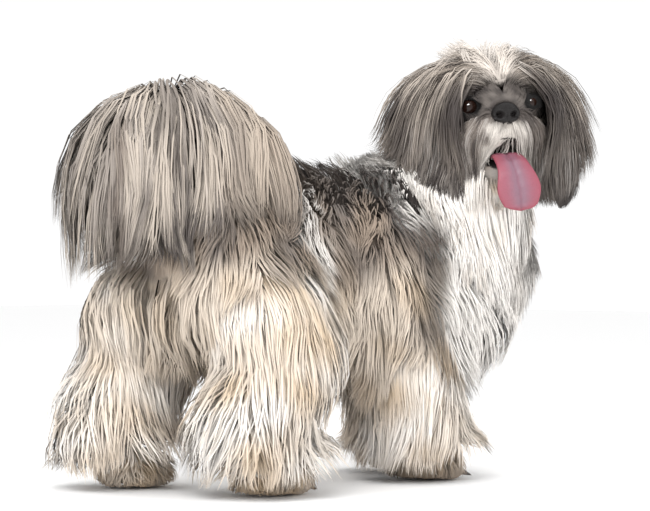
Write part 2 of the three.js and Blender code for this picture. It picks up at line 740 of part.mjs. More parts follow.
// Torso, its coat parted along the back
const flank = { length: 84, width: 25, thickness: 6, lift: 0.3, hug: 0.6, wave: 3, over: 4 };
const backward = V(-0.25, 0, 0);
const bodyLocks = [
  ...coat(torso, { ...flank, from: 0.12, to: 0.8, arc: [84, -36], counts: [3, 3, 3, 3, 3], lie: fall(0.4, backward) }),
  ...coat(torso, { ...flank, from: 0.12, to: 0.8, arc: [96, 216], counts: [3, 3, 3, 3, 3], lie: fall(0.4, backward) }),
  ...coat(torso, { ...flank, from: 0.9, to: 0.9, arc: [-5, -175], counts: [4], length: 60, lie: fall(0.4, V(0, 0, 0)) }),
];
addNode("torso", GREY, [coated(torso, CORE), ...bodyLocks]);

// Moves the floor's origin to under the middle of the dog.
const bounds = new THREE.Box3().setFromObject(model);
const middle = bounds.getCenter(V(0, 0, 0));
model.position.set(-middle.x, -middle.y, 0);

export default model;
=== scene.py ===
"""A standing shih tzu in full coat: one skin, tufts of long hair that follow its lie, and a finished face.

Shapes are in the dog's own frame, in millimetres: +X forward along the hips, +Y its left, Z up.
"""

import math
from collections import namedtuple

import bpy
import numpy as np
from mathutils import Matrix, Vector


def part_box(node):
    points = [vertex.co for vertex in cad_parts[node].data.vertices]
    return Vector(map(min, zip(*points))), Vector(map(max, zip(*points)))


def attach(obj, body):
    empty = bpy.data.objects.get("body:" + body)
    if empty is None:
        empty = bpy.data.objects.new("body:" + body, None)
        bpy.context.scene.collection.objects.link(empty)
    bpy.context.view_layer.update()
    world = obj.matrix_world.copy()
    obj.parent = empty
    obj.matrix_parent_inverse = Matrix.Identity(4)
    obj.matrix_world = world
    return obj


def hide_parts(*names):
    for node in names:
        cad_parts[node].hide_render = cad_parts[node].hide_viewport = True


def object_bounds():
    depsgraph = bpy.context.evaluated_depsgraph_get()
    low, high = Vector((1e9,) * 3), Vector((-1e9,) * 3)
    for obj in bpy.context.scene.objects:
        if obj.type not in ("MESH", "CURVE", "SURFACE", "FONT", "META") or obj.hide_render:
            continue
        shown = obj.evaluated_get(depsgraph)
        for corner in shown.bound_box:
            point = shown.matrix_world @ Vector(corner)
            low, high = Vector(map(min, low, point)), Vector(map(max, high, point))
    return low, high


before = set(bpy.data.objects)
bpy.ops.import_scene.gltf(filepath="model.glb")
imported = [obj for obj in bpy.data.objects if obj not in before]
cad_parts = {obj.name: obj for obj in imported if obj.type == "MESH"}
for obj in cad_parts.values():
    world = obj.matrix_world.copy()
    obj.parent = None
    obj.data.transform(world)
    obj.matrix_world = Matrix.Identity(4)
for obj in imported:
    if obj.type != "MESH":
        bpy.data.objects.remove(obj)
cad_box = [list(corner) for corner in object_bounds()]
rng = np.random.default_rng(11)

MM = 0.001
DOWN = np.array([0.0, 0.0, -1.0])

# Camera: how the photograph was taken
CAMERA_HEADING = 50.0  # degrees from the dog's +Y towards +X
CAMERA_DISTANCE = 2200.0
CAMERA_HEIGHT = 196.4
LOOK_AT = (0.0, -55.0)
LENS = 144.3
SENSOR = 36.0

# Driving dimensions of the body
BACK_HEIGHT = 256.0
RUMP_X, CHEST_X = -142.0, 190.0
CHEST_WIDTH, CHEST_DEPTH = 132.0, 144.0
SPINE_BEND, SPINE_CURVE = 74.0, 1.7
SKULL_CENTRE = (166.0, -103.0, 324.0)
HEAD_HEADING, HEAD_PITCH, HEAD_ROLL = -128.0, 3.0, 4.5
HALF_SKULL = 48.0
EYE_RADIUS, EYE_SPREAD, EYE_AHEAD, EYE_UP = 9.5, 28.0, 34.0, 1.0
BELLY_HANG = 0.35


def unit(v):
    return v / np.maximum(np.linalg.norm(v, axis=-1, keepdims=True), 1e-9)


def facing(degrees):
    """The level directions ahead and to the right of something that faces an angle."""
    a = math.radians(degrees)
    return np.array([math.cos(a), math.sin(a), 0.0]), np.array([math.sin(a), -math.cos(a), 0.0])


def smooth(x, low, high):
    s = np.clip((x - low) / (high - low), 0.0, 1.0)
    return s * s * (3 - 2 * s)


head_matrix = (
    Matrix.Translation(SKULL_CENTRE)
    @ Matrix.Rotation(math.radians(HEAD_HEADING), 4, "Z")
    @ Matrix.Rotation(math.radians(-HEAD_PITCH), 4, "Y")
    @ Matrix.Rotation(math.radians(HEAD_ROLL), 4, "X")
)
HEAD = np.array(head_matrix)


def on_head(points):
    return np.asarray(points, float) @ HEAD[:3, :3].T + HEAD[:3, 3]


def head_way(way):
    return HEAD[:3, :3] @ np.asarray(way, float)


def in_head(points):
    """Places in the head's own frame: x ahead, y to its left, z up."""
    return (points - HEAD[:3, 3]) @ HEAD[:3, :3]


eye_low, eye_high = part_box("eye_left")
SHIFT = np.array((eye_low + eye_high) / 2) - on_head([EYE_AHEAD, EYE_SPREAD, EYE_UP]) * MM


def to_world(points):
    return points * MM + SHIFT


BACK_EDGE = (cad_box[0][0] - SHIFT[0]) / MM  # the rearmost place of the solids


# Curves and limbs
BLUNTNESS = 8.0  # how abruptly the ends of a limb close


def curve(points, t):
    """Places on a centripetal Catmull-Rom curve through the points."""
    last = len(points) - 1
    at = np.clip(t, 0, 1) * last
    i = np.minimum(at.astype(int), last - 1)
    w = (at - i)[:, None]
    ends = np.vstack([2 * points[0] - points[1], points, 2 * points[-1] - points[-2]])
    p0, p1, p2, p3 = (ends[i + k] for k in range(4))
    d1 = np.maximum(np.linalg.norm(p2 - p1, axis=1, keepdims=True) ** 0.5, 1e-4)
    d0 = np.linalg.norm(p1 - p0, axis=1, keepdims=True) ** 0.5
    d2 = np.linalg.norm(p3 - p2, axis=1, keepdims=True) ** 0.5
    d0 = np.where(d0 < 1e-4, d1, d0)
    d2 = np.where(d2 < 1e-4, d1, d2)
    m1 = ((p1 - p0) / d0 - (p2 - p0) / (d0 + d1) + (p2 - p1) / d1) * d1
    m2 = ((p2 - p1) / d1 - (p3 - p1) / (d1 + d2) + (p3 - p2) / d2) * d1
    w2, w3 = w * w, w * w * w
    return (2 * w3 - 3 * w2 + 1) * p1 + (w3 - 2 * w2 + w) * m1 + (3 * w2 - 2 * w3) * p2 + (w3 - w2) * m2


class Limb:
    """A smooth form along a spine. Stations are x, y, z, two half widths and the depth of the coat."""

    def __init__(self, stations, right, axis=None, hang=0.0, crown=0.0):
        table = np.array([list(s) + [0.0] * (6 - len(s)) for s in stations], float)
        self.spine = table[:, :3]
        self.girth = table[:, 3:]
        self.right = np.asarray(right, float)
        self.axis = axis
        self.hang = hang
        self.crown = crown

    def slices(self, t):
        t = np.atleast_1d(np.asarray(t, float))
        centre = curve(self.spine, t)
        if self.axis is None:
            along = unit(curve(self.spine, t + 1e-4) - curve(self.spine, t - 1e-4))
        else:
            along = np.tile(self.axis, (len(t), 1))
        across = unit(self.right - along * (along @ self.right)[:, None])
        return centre, along, across, np.cross(across, along), np.maximum(curve(self.girth, t), 0.3)

    def hung(self, up):
        """How much deeper the coat is below and above the form than at its sides."""
        return 1 - self.hang * np.minimum(up, 0.0) + self.crown * np.maximum(up, 0.0)

    def surface(self, t, degrees):
        centre, along, across, other, girth = self.slices(t)
        c, s = np.cos(np.radians(degrees))[:, None], np.sin(np.radians(degrees))[:, None]
        a, b = girth[:, :1], girth[:, 1:2]
        return centre + across * c * a + other * s * b, unit(across * c / a + other * s / b)

    def skin(self, t, degrees):
        """Places on the form, the way out of it there and how much area a step covers."""
        place, radial = self.surface(t, degrees)
        before, after = self.surface(t - 2e-3, degrees)[0], self.surface(t + 2e-3, degrees)[0]
        turned = self.surface(t, degrees + 0.5)[0] - place
        normal = np.cross(turned, after - before)
        area = np.linalg.norm(normal, axis=1)
        normal = unit(normal)
        return place, normal * np.sign((normal * radial).sum(1, keepdims=True) + 1e-9), area

    def rings(self, around, count):
        """Rings of places drawn in to both ends, with each place's share, cosine, sine and drawing in."""
        t = np.arccos(np.linspace(1, -1, count)) / math.pi
        t = np.repeat(t, around)
        turn = np.radians(np.tile(np.linspace(0, 360, around, endpoint=False), count))
        drawn = np.minimum(1, np.sin(math.pi * t)[:, None] * BLUNTNESS)
        centre, _, across, other, girth = self.slices(t)
        c, s = np.cos(turn)[:, None], np.sin(turn)[:, None]
        places = centre + (across * c * girth[:, :1] + other * s * girth[:, 1:2]) * drawn
        return places, other, t, c, s, drawn

    def mesh(self, around=40, rings=44):
        """The closed form as places and faces."""
        quads = []
        for r in range(rings - 1):
            for k in range(around):
                n = (k + 1) % around
                quads.append((r * around + k, r * around + n, (r + 1) * around + n, (r + 1) * around + k))
        first, last = range(around), range((rings - 1) * around, rings * around)
        return self.rings(around, rings)[0], quads + [tuple(reversed(first)), tuple(last)]


# Torso
def bend(x):
    return -SPINE_BEND * (max(x, 0.0) / CHEST_X) ** SPINE_CURVE


TORSO_PROFILE = [
    # share of the length, drop below the back, half width and half depth as shares of the chest's, coat
    (0, 62, 0.2, 0.25, 26),
    (0.045, 60, 0.68, 0.64, 27),
    (0.15, 60, 0.86, 0.83, 27),
    (0.29, 64, 0.87, 0.85, 27),
    (0.45, 69, 0.9, 0.91, 28),
    (0.61, 72, 0.96, 0.97, 29),
    (0.75, 70, 1, 1, 31),
    (0.86, 65, 0.96, 0.97, 36),
    (0.95, 60, 0.76, 0.8, 40),
    (1, 56, 0.32, 0.36, 40),
]
torso_stations = []
for share, drop, wide, deep, coat in TORSO_PROFILE:
    x = RUMP_X + share * (CHEST_X - RUMP_X)
    halves = wide * CHEST_WIDTH / 2, deep * CHEST_DEPTH / 2
    torso_stations.append((x, bend(x), BACK_HEIGHT - drop, *halves, coat))

NECK = [
    (146, -54, 192, 36, 36, 30),
    (158, -64, 220, 48, 48, 34),
    (167, -78, 256, 43, 42, 32),
    (170, -92, 282, 34, 33, 24),
    (170, -98, 300, 22, 22, 16),
]
TAIL = [
    (-104, 0, 232, 15, 15, 16),
    (-126, 6, 258, 15, 14, 20),
    (-142, 12, 292, 12, 12, 24),
    (-132, 10, 318, 11, 11, 30),
    (-104, 0, 322, 10, 10, 29),
    (-76, -14, 311, 8, 8, 15),
    (-56, -24, 298, 4, 4, 8),
]

# Legs: forward, outward, height, two half widths and the depth of the coat
HIND = [
    (6, -26, 196, 18, 24, 14),
    (3, -22, 178, 33, 46, 20),
    (7, -8, 146, 32, 42, 25),
    (18, 0, 116, 25, 31, 32),
    (-8, 6, 84, 18, 22, 42),
    (-22, 6, 60, 15, 18, 46),
    (-14, 3, 36, 14, 17, 42),
    (-6, 1, 22, 13, 15, 18),
]
FORE = [
    (16, -14, 198, 16, 22, 14),
    (12, -10, 180, 27, 36, 20),
    (-4, -4, 146, 26, 32, 26),
    (-14, 2, 116, 20, 24, 34),
    (-8, 2, 80, 16, 18, 42),
    (-4, 1, 46, 15, 16, 44),
    (0, 0, 24, 14, 15, 18),
]
FOOT = [(3, 0, 36, 12, 14, 12), (4, 0, 24, 20, 24, 14), (4, 0, 12, 22, 26, 14), (4, 0, 3, 19, 23, 12)]
LEGS = {
    "hind_right": {"foot": (-82, -62), "turn": -8, "side": -1, "stations": HIND},
    "hind_left": {"foot": (-100, 76), "turn": 10, "side": 1, "stations": HIND},
    "front_right": {"foot": (119, -65), "turn": -30, "side": -1, "stations": FORE},
    "front_left": {"foot": (184, 8), "turn": -24, "side": 1, "stations": FORE},
}


def leg_place(leg, ahead, out, height):
    forward, aside = facing(leg["turn"])
    foot = np.array([*leg["foot"], height], float)
    return foot + forward * ahead - aside * out * leg["side"]


def leg_limb(leg, stations):
    rows = [(*leg_place(leg, *row[:3]), *row[3:]) for row in stations]
    return Limb(rows, facing(leg["turn"])[1], axis=DOWN)


# Head: x ahead, y to its left, z up from the middle of the skull
def head_limb(stations, right=(0, -1, 0), crown=0.0):
    rows = [(*on_head(row[:3]), *row[3:]) for row in stations]
    return Limb(rows, head_way(right), crown=crown)


SKULL = [
    (-48, 0, 4, 10, 10, 10),
    (-38, 0, 4, 32, 33, 14),
    (-14, 0, 4, HALF_SKULL - 1, 42, 17),
    (10, 0, 3, HALF_SKULL, 40, 14),
    (28, 0, -2, 40, 33, 5),
    (37, 0, -6, 24, 22, 2),
    (41, 0, -6, 8, 8, 2),
]
MUZZLE = [
    (16, 0, -14, 26, 18, 4),
    (32, 0, -16, 30, 17, 4),
    (46, 0, -16, 27, 13, 4),
    (52, 0, -16, 19, 10, 3),
    (55, 0, -16, 6, 4, 3),
]
JAW = [
    (-6, 0, -36, 14, 10, 6),
    (10, 0, -44, 25, 11, 7),
    (28, 0, -54, 22, 9, 7),
    (42, 0, -60, 17, 8, 6),
    (48, 0, -61, 8, 5, 5),
]
TONGUE = [
    (16, 0, -44, 6, 2),
    (26, 0, -44, 11, 3.5),
    (42, 1, -45, 13, 3.5),
    (54, 3, -56, 15, 3.5),
    (57, 5, -74, 19.5, 3.5),
    (55, 6, -88, 15, 3),
    (54, 6, -93, 5, 1.5),
]
LID = [
    (20, 28, 1, 8, 7, 2),
    (27, 28, 1, 12, 11, 3),
    (35, 28, 1, 13, 12, 3),
    (41, 28.5, 1, 12, 10.5, 2),
    (44, 29, 1, 9, 7, 1),
]
FOLD_SIDE = [(36, 27, -16, 4, 4, 2), (46, 16, -3, 5, 5, 3), (49, 6, 5, 5.5, 5.5, 3)]
FOLD = [(x, -y, *rest) for x, y, *rest in FOLD_SIDE] + FOLD_SIDE[::-1]


def ear_stations(y):
    return [
        (-12, y * 46, 26, 10, 4, 6),
        (-13, y * 57, 12, 18, 5, 11),
        (-14, y * 63, -12, 22, 5, 16),
        (-15, y * 65, -40, 18, 5, 20),
        (-15, y * 64, -60, 6, 3, 22),
    ]


limbs = {
    "torso": Limb(torso_stations, facing(-18)[1], hang=BELLY_HANG),
    "neck": Limb(NECK, facing(-75)[1]),
    "tail": Limb(TAIL, facing(-10)[1]),
    "skull": head_limb(SKULL, crown=1.4),
    "muzzle": head_limb(MUZZLE),
    "jaw": head_limb(JAW),
    "ear_right": head_limb(ear_stations(-1), (-1, 0, 0)),
    "ear_left": head_limb(ear_stations(1), (-1, 0, 0)),
}
for side, y in (("right", -1), ("left", 1)):
    limbs["lid_" + side] = head_limb([(x, y * across, *rest) for x, across, *rest in LID])
limbs["fold"] = head_limb(FOLD, (0, 0, 1))
for name, leg in LEGS.items():
    limbs["leg_" + name] = leg_limb(leg, leg["stations"])
    limbs["paw_" + name] = leg_limb(leg, FOOT)
ORDER = list(limbs)


# The field: distance from the flesh, the way out of it, the coat's depth and whose it is, on a grid
CELL = 6.0
FIELD_LOW = np.array([-290.0, -270.0, -18.0])
FIELD_SIZE = (106, 80, 74)
REACH = 90.0
FAR = 400.0
SLICES = 32
SLICE_REACH = 1.6  # how far a slice reaches along its limb, in spacings of the slices


def build_field():
    axes = [FIELD_LOW[i] + CELL * np.arange(FIELD_SIZE[i]) for i in range(3)]
    distance = np.full(FIELD_SIZE, FAR, np.float32)
    depth = np.zeros(FIELD_SIZE, np.float32)
    owner = np.full(FIELD_SIZE, -1, np.int8)
    for number, name in enumerate(ORDER):
        limb = limbs[name]
        centre, _, across, other, girth = limb.slices(np.linspace(0, 1, SLICES))
        reach_along = SLICE_REACH * np.linalg.norm(np.diff(centre, axis=0), axis=1).mean()
        spread = girth[:, :2].max() + REACH
        low = np.maximum(((centre.min(0) - spread - FIELD_LOW) / CELL).astype(int), 0)
        high = np.minimum(((centre.max(0) + spread - FIELD_LOW) / CELL).astype(int) + 1, FIELD_SIZE)
        block = tuple(slice(a, b) for a, b in zip(low, high))
        grid = np.meshgrid(*[axes[i][block[i]] for i in range(3)], indexing="ij")
        grid = np.stack(grid, -1).astype(np.float32)
        d, w, o = distance[block], depth[block], owner[block]
        for k in range(len(centre)):
            offset = grid - centre[k].astype(np.float32)
            length = np.sqrt((offset**2).sum(-1)) + 1e-6
            ca = offset @ across[k].astype(np.float32) / length
            cb = offset @ other[k].astype(np.float32) / length
            a, b, coat = girth[k]
            ahead = np.maximum(1 - ca**2 - cb**2, 0)
            gap = length - 1 / np.sqrt((ca / a) ** 2 + (cb / b) ** 2 + ahead / reach_along**2)
            near = gap < d
            d[near] = gap[near]
            w[near] = (coat * limb.hung(cb))[near]
            o[near] = number
    return distance, depth, owner


def blur(values, passes):
    for _ in range(passes):
        for axis in range(3):
            padded = np.concatenate([values.take([0], axis), values, values.take([-1], axis)], axis)
            n = values.shape[axis]
            a, b, c = (padded.take(range(k, k + n), axis) for k in range(3))
            values = (a + 2 * b + c) / 4
    return values


distance, depth_field, owner_field = build_field()
distance = blur(distance, 1)
depth_field = blur(depth_field, 3)
gradient = np.stack(np.gradient(blur(distance, 2), CELL), -1)


def trilinear(values, points):
    at = np.clip((points - FIELD_LOW) / CELL, 0, np.array(FIELD_SIZE) - 1.001)
    i = at.astype(int)
    f = at - i
    total = 0.0
    for corner in range(8):
        step = np.array([corner >> 2 & 1, corner >> 1 & 1, corner & 1])
        weight = np.prod(np.where(step, f, 1 - f), axis=-1)
        j = i + step
        value = values[j[:, 0], j[:, 1], j[:, 2]]
        total = total + (value * weight[:, None] if value.ndim > 1 else value * weight)
    return total


def feel(points):
    """Distance, way out, coat's depth and owner at places."""
    i = np.clip(np.rint((points - FIELD_LOW) / CELL).astype(int), 0, np.array(FIELD_SIZE) - 1)
    owner = owner_field[i[:, 0], i[:, 1], i[:, 2]]
    out = unit(trilinear(gradient, points))
    return trilinear(distance, points), out, trilinear(depth_field, points), owner


# Slow random ripples over space: a way, a phase and a rate for each
TURN = 2 * math.pi
WAVES = [(unit(rng.normal(size=3)), rng.uniform(0, TURN), rng.uniform(0.7, 1.6)) for _ in range(30)]


def ripple(points, size, first=0):
    """A smooth random value from about -1 to 1, with features of a size in millimetres."""
    total = 0.0
    for way, phase, rate in WAVES[first : first + 5]:
        total = total + np.sin(points @ way * rate * TURN / size + phase + first)
    return total / 2.4


# Colours: worked out from a place, the place on the head, the share along a tuft and the lock's own number
def srgb(code):
    values = np.array([int(code[i : i + 2], 16) / 255 for i in (1, 3, 5)])
    return np.where(values <= 0.04045, values / 12.92, ((values + 0.055) / 1.055) ** 2.4)


WHITE = srgb("#f6f1eb")
CREAM = srgb("#ddcfbf")
SILVER = srgb("#b8aea5")
TAN = srgb("#cfb696")
TAUPE = srgb("#958678")
GREY = srgb("#766e68")
DARK = srgb("#433d3b")
BLACK = srgb("#151212")
OLIVE = srgb("#8d7a60")


def mix(a, b, weight):
    w = np.clip(np.asarray(weight, float), 0, 1)[..., None]
    return a * (1 - w) + b * w


def saddle_edge(p):
    """How far forward a place is of the middle of the saddle, along its slanting, uneven edge."""
    return p[..., 0] + 0.25 * (p[..., 2] - 200) + 8 * ripple(p, 60, 0)


def torso_colour(p, h, share, g):
    """Dark saddle with a pale band at the waist, white chest and cream belly."""
    x, z = p[..., 0], p[..., 2]
    edge = saddle_edge(p)
    chest = smooth(edge, 76, 88)
    height = z + 14 * ripple(p, 70, 5)
    low = 1 - smooth(height, 158, 196)
    base = mix(GREY, TAUPE, 0.8 + 0.6 * ripple(p, 45, 10)) * 1.1
    base = mix(base, DARK, smooth(height, 215, 262) * 0.6 + 0.35 * smooth(g, 0.6, 1))
    base = mix(base, DARK, 0.8 * smooth(edge, 50, 72))
    base = mix(base, CREAM, low * (1 - 0.8 * smooth(edge, 45, 68)))
    band = np.exp(-(((x + 30 + 5 * ripple(p, 50, 3)) / 11) ** 2))
    base = mix(base, WHITE, 0.9 * band)
    base = mix(base, TAN, 0.35 * low * smooth(ripple(p, 50, 12), 0, 1))
    return mix(base, WHITE, chest)


def neck_colour(p, h, share, g):
    base = mix(WHITE, CREAM, 0.3 * ripple(p, 40, 2))
    base = mix(base, SILVER, 0.06 * smooth(g, 0.7, 1))
    return mix(torso_colour(p, h, share, g), base, smooth(saddle_edge(p), 70, 88))


def leg_colour(p, h, share, g):
    """Cream with tan creases, whiter low down, a little grey at the haunch."""
    x, y, z = p[..., 0], p[..., 1], p[..., 2]
    base = mix(CREAM, WHITE, 0.15 + 0.6 * ripple(p, 60, 4) + 0.3 * smooth(-z, -110, -60))
    warm = np.where(y > 20, 0.35, 0.7)
    base = mix(base, TAN, warm * smooth(ripple(p, 75, 8) + 0.5 * (g - 0.5), -0.2, 1.0))
    haunch = smooth(z, 150, 185) * smooth(-x, 60, 120) * (y < 0)
    return mix(base, TAUPE, 0.35 * haunch * g)


def paw_colour(p, h, share, g):
    base = mix(CREAM, TAN, 0.5 + 0.5 * ripple(p, 30, 6))
    front = smooth(p[..., 0], 60, 90)
    # Greyer at the front and in some locks; the last term is painted shade, darker towards the floor
    return mix(base, TAUPE, 0.25 * g + 0.5 * front + 0.25 * smooth(-p[..., 2], -14, 0))


def tail_colour(p, h, share, g):
    """Silver on its left, dark streaks in the middle, cream on its right, dark ends, and painted shade down
    the parting.
    """
    z = p[..., 2]
    across = p @ facing(-50)[0]
    streak = smooth(g + 0.3 * ripple(p * [1, 1, 0.25], 46, 9), 0.36, 0.58)
    pale = mix(SILVER, CREAM, 0.05 + 0.6 * smooth(0.5 - g, -0.1, 0.2)) * 0.78
    right = smooth(across + 6 * ripple(p, 50, 2), -50, -20)
    base = mix(pale, mix(CREAM, TAUPE, 0.35 + 0.5 * g), right)
    middle = smooth(across, -112, -92) * (1 - smooth(across, -52, -28))
    base = mix(base, DARK, 0.9 * streak * middle * (0.45 + 0.55 * smooth(-z, -325, -265)))
    base = mix(base, GREY, 0.4 * streak)
    # Painted shade: a dark line down the parting between the two halves of the plume
    gap = np.exp(-(((across + 121 + 3 * ripple(p, 40, 5)) / 6) ** 2)) * smooth(-z, -320, -290)
    base = mix(base, srgb("#5b4f47"), 0.75 * gap)
    low = 1 - smooth(z + 10 * ripple(p, 40, 1), 200, 255)
    base = mix(base, DARK, 0.8 * low * smooth(across, -60, -30))
    return mix(base, DARK, 0.6 * smooth(share, 0.7, 1) * smooth(g, 0.3, 0.6) * low)


def blaze(side, z, low, inner, outer):
    """The white parting, narrow between the brows and wider up the crown."""
    rise = np.maximum(z - low, 0)
    return (1 - smooth(side, inner[0] + inner[1] * rise, outer[0] + outer[1] * rise)) * smooth(z, 14, 30)


def head_colour(p, h, share, g):
    """White parting and crown, grey sides that darken to their ends, dark round the eyes."""
    x, y, z = h[..., 0], h[..., 1], h[..., 2]
    side = np.abs(y)
    base = mix(srgb("#6f665f"), srgb("#c0b4a8"), 0.3 + 0.6 * ripple(p, 26, 7) + 0.6 * smooth(z, 0, 36))
    streak = 0.9 * smooth(g + 0.2 * ripple(p, 30, 11), 0.42, 0.7)
    base = mix(base, DARK, streak * (1 - 0.6 * smooth(z, 10, 40)))
    base = mix(base, GREY, 0.7 * smooth(-z, 0, 50))
    base = mix(base, DARK, 0.6 * smooth(-z, 40, 95))
    base = mix(base, srgb("#a29d99"), 0.75 * smooth(0.35 - g, 0, 0.2) * smooth(-z, 0, 40))
    eye = np.hypot(side - EYE_SPREAD - 6, z - EYE_UP + 8) + 5 * ripple(p, 18, 6)
    base = mix(base, DARK, 0.85 * (1 - smooth(eye, 16, 36)))
    base = mix(base, srgb("#e4dbd2"), blaze(side, z, 14, (4, 0.5), (12, 1.1)))
    nape = smooth(-x, 22, 40)
    return mix(base, WHITE, nape * (1 - 0.6 * smooth(side, 30, 50)))


def face_colour(p, h, share, g):
    """Taupe brows with cream streaks, almost black round the eyes, grey cheeks with silver streaks."""
    side, z = np.abs(h[..., 1]), h[..., 2]
    base = mix(srgb("#544d49"), srgb("#a89c90"), smooth(side + 8 * ripple(p, 20, 3) + 0.9 * z, 22, 56))
    base = mix(base, DARK, 0.85 * smooth(g, 0.4, 0.7))
    base = mix(base, srgb("#bdb4ab"), 0.8 * smooth(0.44 - g, 0, 0.2))
    patch = np.exp(-(((side - 17) / 11) ** 2) - (((z - 18) / 9) ** 2))
    base = mix(base, DARK, 0.6 * patch)
    eye = np.hypot((side - EYE_SPREAD - 2) * 0.85, (z - EYE_UP + 1) * 1.25)
    base = mix(base, BLACK, 0.96 * (1 - smooth(eye + 3 * ripple(p, 14, 6), 11, 26)))
    base = mix(base, DARK, 0.6 * smooth(-z, 30, 80))
    bridge = (1 - smooth(side, 8, 20)) * (1 - smooth(z, 8, 20))
    base = mix(base, srgb("#3a3432"), 0.9 * bridge)
    return mix(base, srgb("#dcd2c8"), blaze(side, z, 16, (1, 0.45), (5, 0.9)))


def fold_colour(p, h, share, g):
    base = mix(srgb("#4c4643"), srgb("#6b645f"), 0.5 + 0.6 * ripple(p, 12, 8))
    return mix(base, DARK, 0.7 * smooth(np.abs(h[..., 1]), 16, 27))


def moustache_colour(p, h, share, g):
    """White beside the mouth, grey further out, silver streaks and dark ends."""
    y, z = h[..., 1], h[..., 2]
    side = np.abs(y)
    base = mix(srgb("#5b5450"), srgb("#7d736b"), 0.5 + 0.5 * ripple(p, 22, 2))
    base = mix(base, DARK, 0.8 * smooth(g, 0.42, 0.7))
    base = mix(base, srgb("#b5aea8"), 0.8 * smooth(0.44 - g, 0, 0.2))
    edge = np.where(y < 0, 20.0, 17.0) - 0.12 * (z + 30)
    white = (1 - smooth(side + 4 * ripple(p, 16, 9), edge - 5, edge + 5)) * smooth(-z, 13, 20)
    middle = 1 - smooth(side, 3, 9)
    dim = 0.6 * smooth(g, 0.35, 0.6) * (0.5 + 0.5 * middle)
    base = mix(base, srgb("#d9d2ca"), 0.95 * white * (1 - dim))
    return mix(base, DARK, 0.5 * smooth(-z, 60, 95) * smooth(side, 18, 30))


def beard_colour(p, h, share, g):
    base = mix(WHITE, TAN, 0.3 + 0.4 * ripple(p, 24, 5) + 0.2 * g)
    return mix(base, GREY, 0.85 * smooth(h[..., 2], -76, -62))


def ear_colour(p, h, share, g):
    z = h[..., 2]
    base = mix(srgb("#6d6662"), OLIVE, smooth(z, -30, 10) * smooth(-h[..., 0], 8, 24))
    base = mix(base, srgb("#98938f"), 0.6 * smooth(0.4 - g, 0, 0.2))
    base = mix(base, DARK, 0.7 * smooth(g, 0.4, 0.7))
    return mix(base, DARK, 0.6 * smooth(-z, 45, 90))


# Growing the coat
def along(n, way):
    return way - n * (n @ way)[:, None]


def fall(drop, way=(0, 0, 0)):
    way = np.asarray(way, float)
    return lambda p, n, share, root: along(n, DOWN) + DOWN * drop + way


TRIES = 12  # places thrown for each root wanted
OVERLAPPED, BURIED = -4.0, -9.0  # distances inside another limb, and inside anything, where no root stands
SETTLING = 2000  # roots that look for their guides at once


def number_of(limb):
    return ORDER.index(next(k for k, v in limbs.items() if v is limb))


def roots_on(limb, count, near, far, low, high):
    """Places spread evenly over part of a limb: shares of its length and angles in degrees."""
    tries = count * TRIES
    t = rng.uniform(near, far, tries)
    angle = rng.uniform(low, high, tries)
    p, _, area = limb.skin(t, angle)
    kept = rng.uniform(0, np.quantile(area, 0.98), tries) < area
    t, angle, p = t[kept], angle[kept], p[kept]
    d, _, _, owner = feel(p)
    free = (d > OVERLAPPED) | (owner == number_of(limb))
    free &= d > BURIED
    return t[free][:count], angle[free][:count]


def nearest_guides(root, count):
    """For each root the nearest of some roots that lead a lock."""
    guides = rng.permutation(len(root))[:count]
    nearest = np.empty(len(root), int)
    for a in range(0, len(root), SETTLING):
        gap = ((root[a : a + SETTLING, None, :] - root[None, guides, :]) ** 2).sum(-1)
        nearest[a : a + SETTLING] = guides[gap.argmin(1)]
    return nearest


STEER = 0.55  # how fast a tuft turns to the lie
FLOOR = 2.0  # height that no tuft goes below
SWAY, CURL_TURN = 48.0, 5.0  # size of the waves along a tuft, and how far a curl winds in radians
MOST_PUSH, MOST_STEP = 0.85, 1.25  # in lengths of a step
LOCK_TUFTS = 5  # clumps in a lock


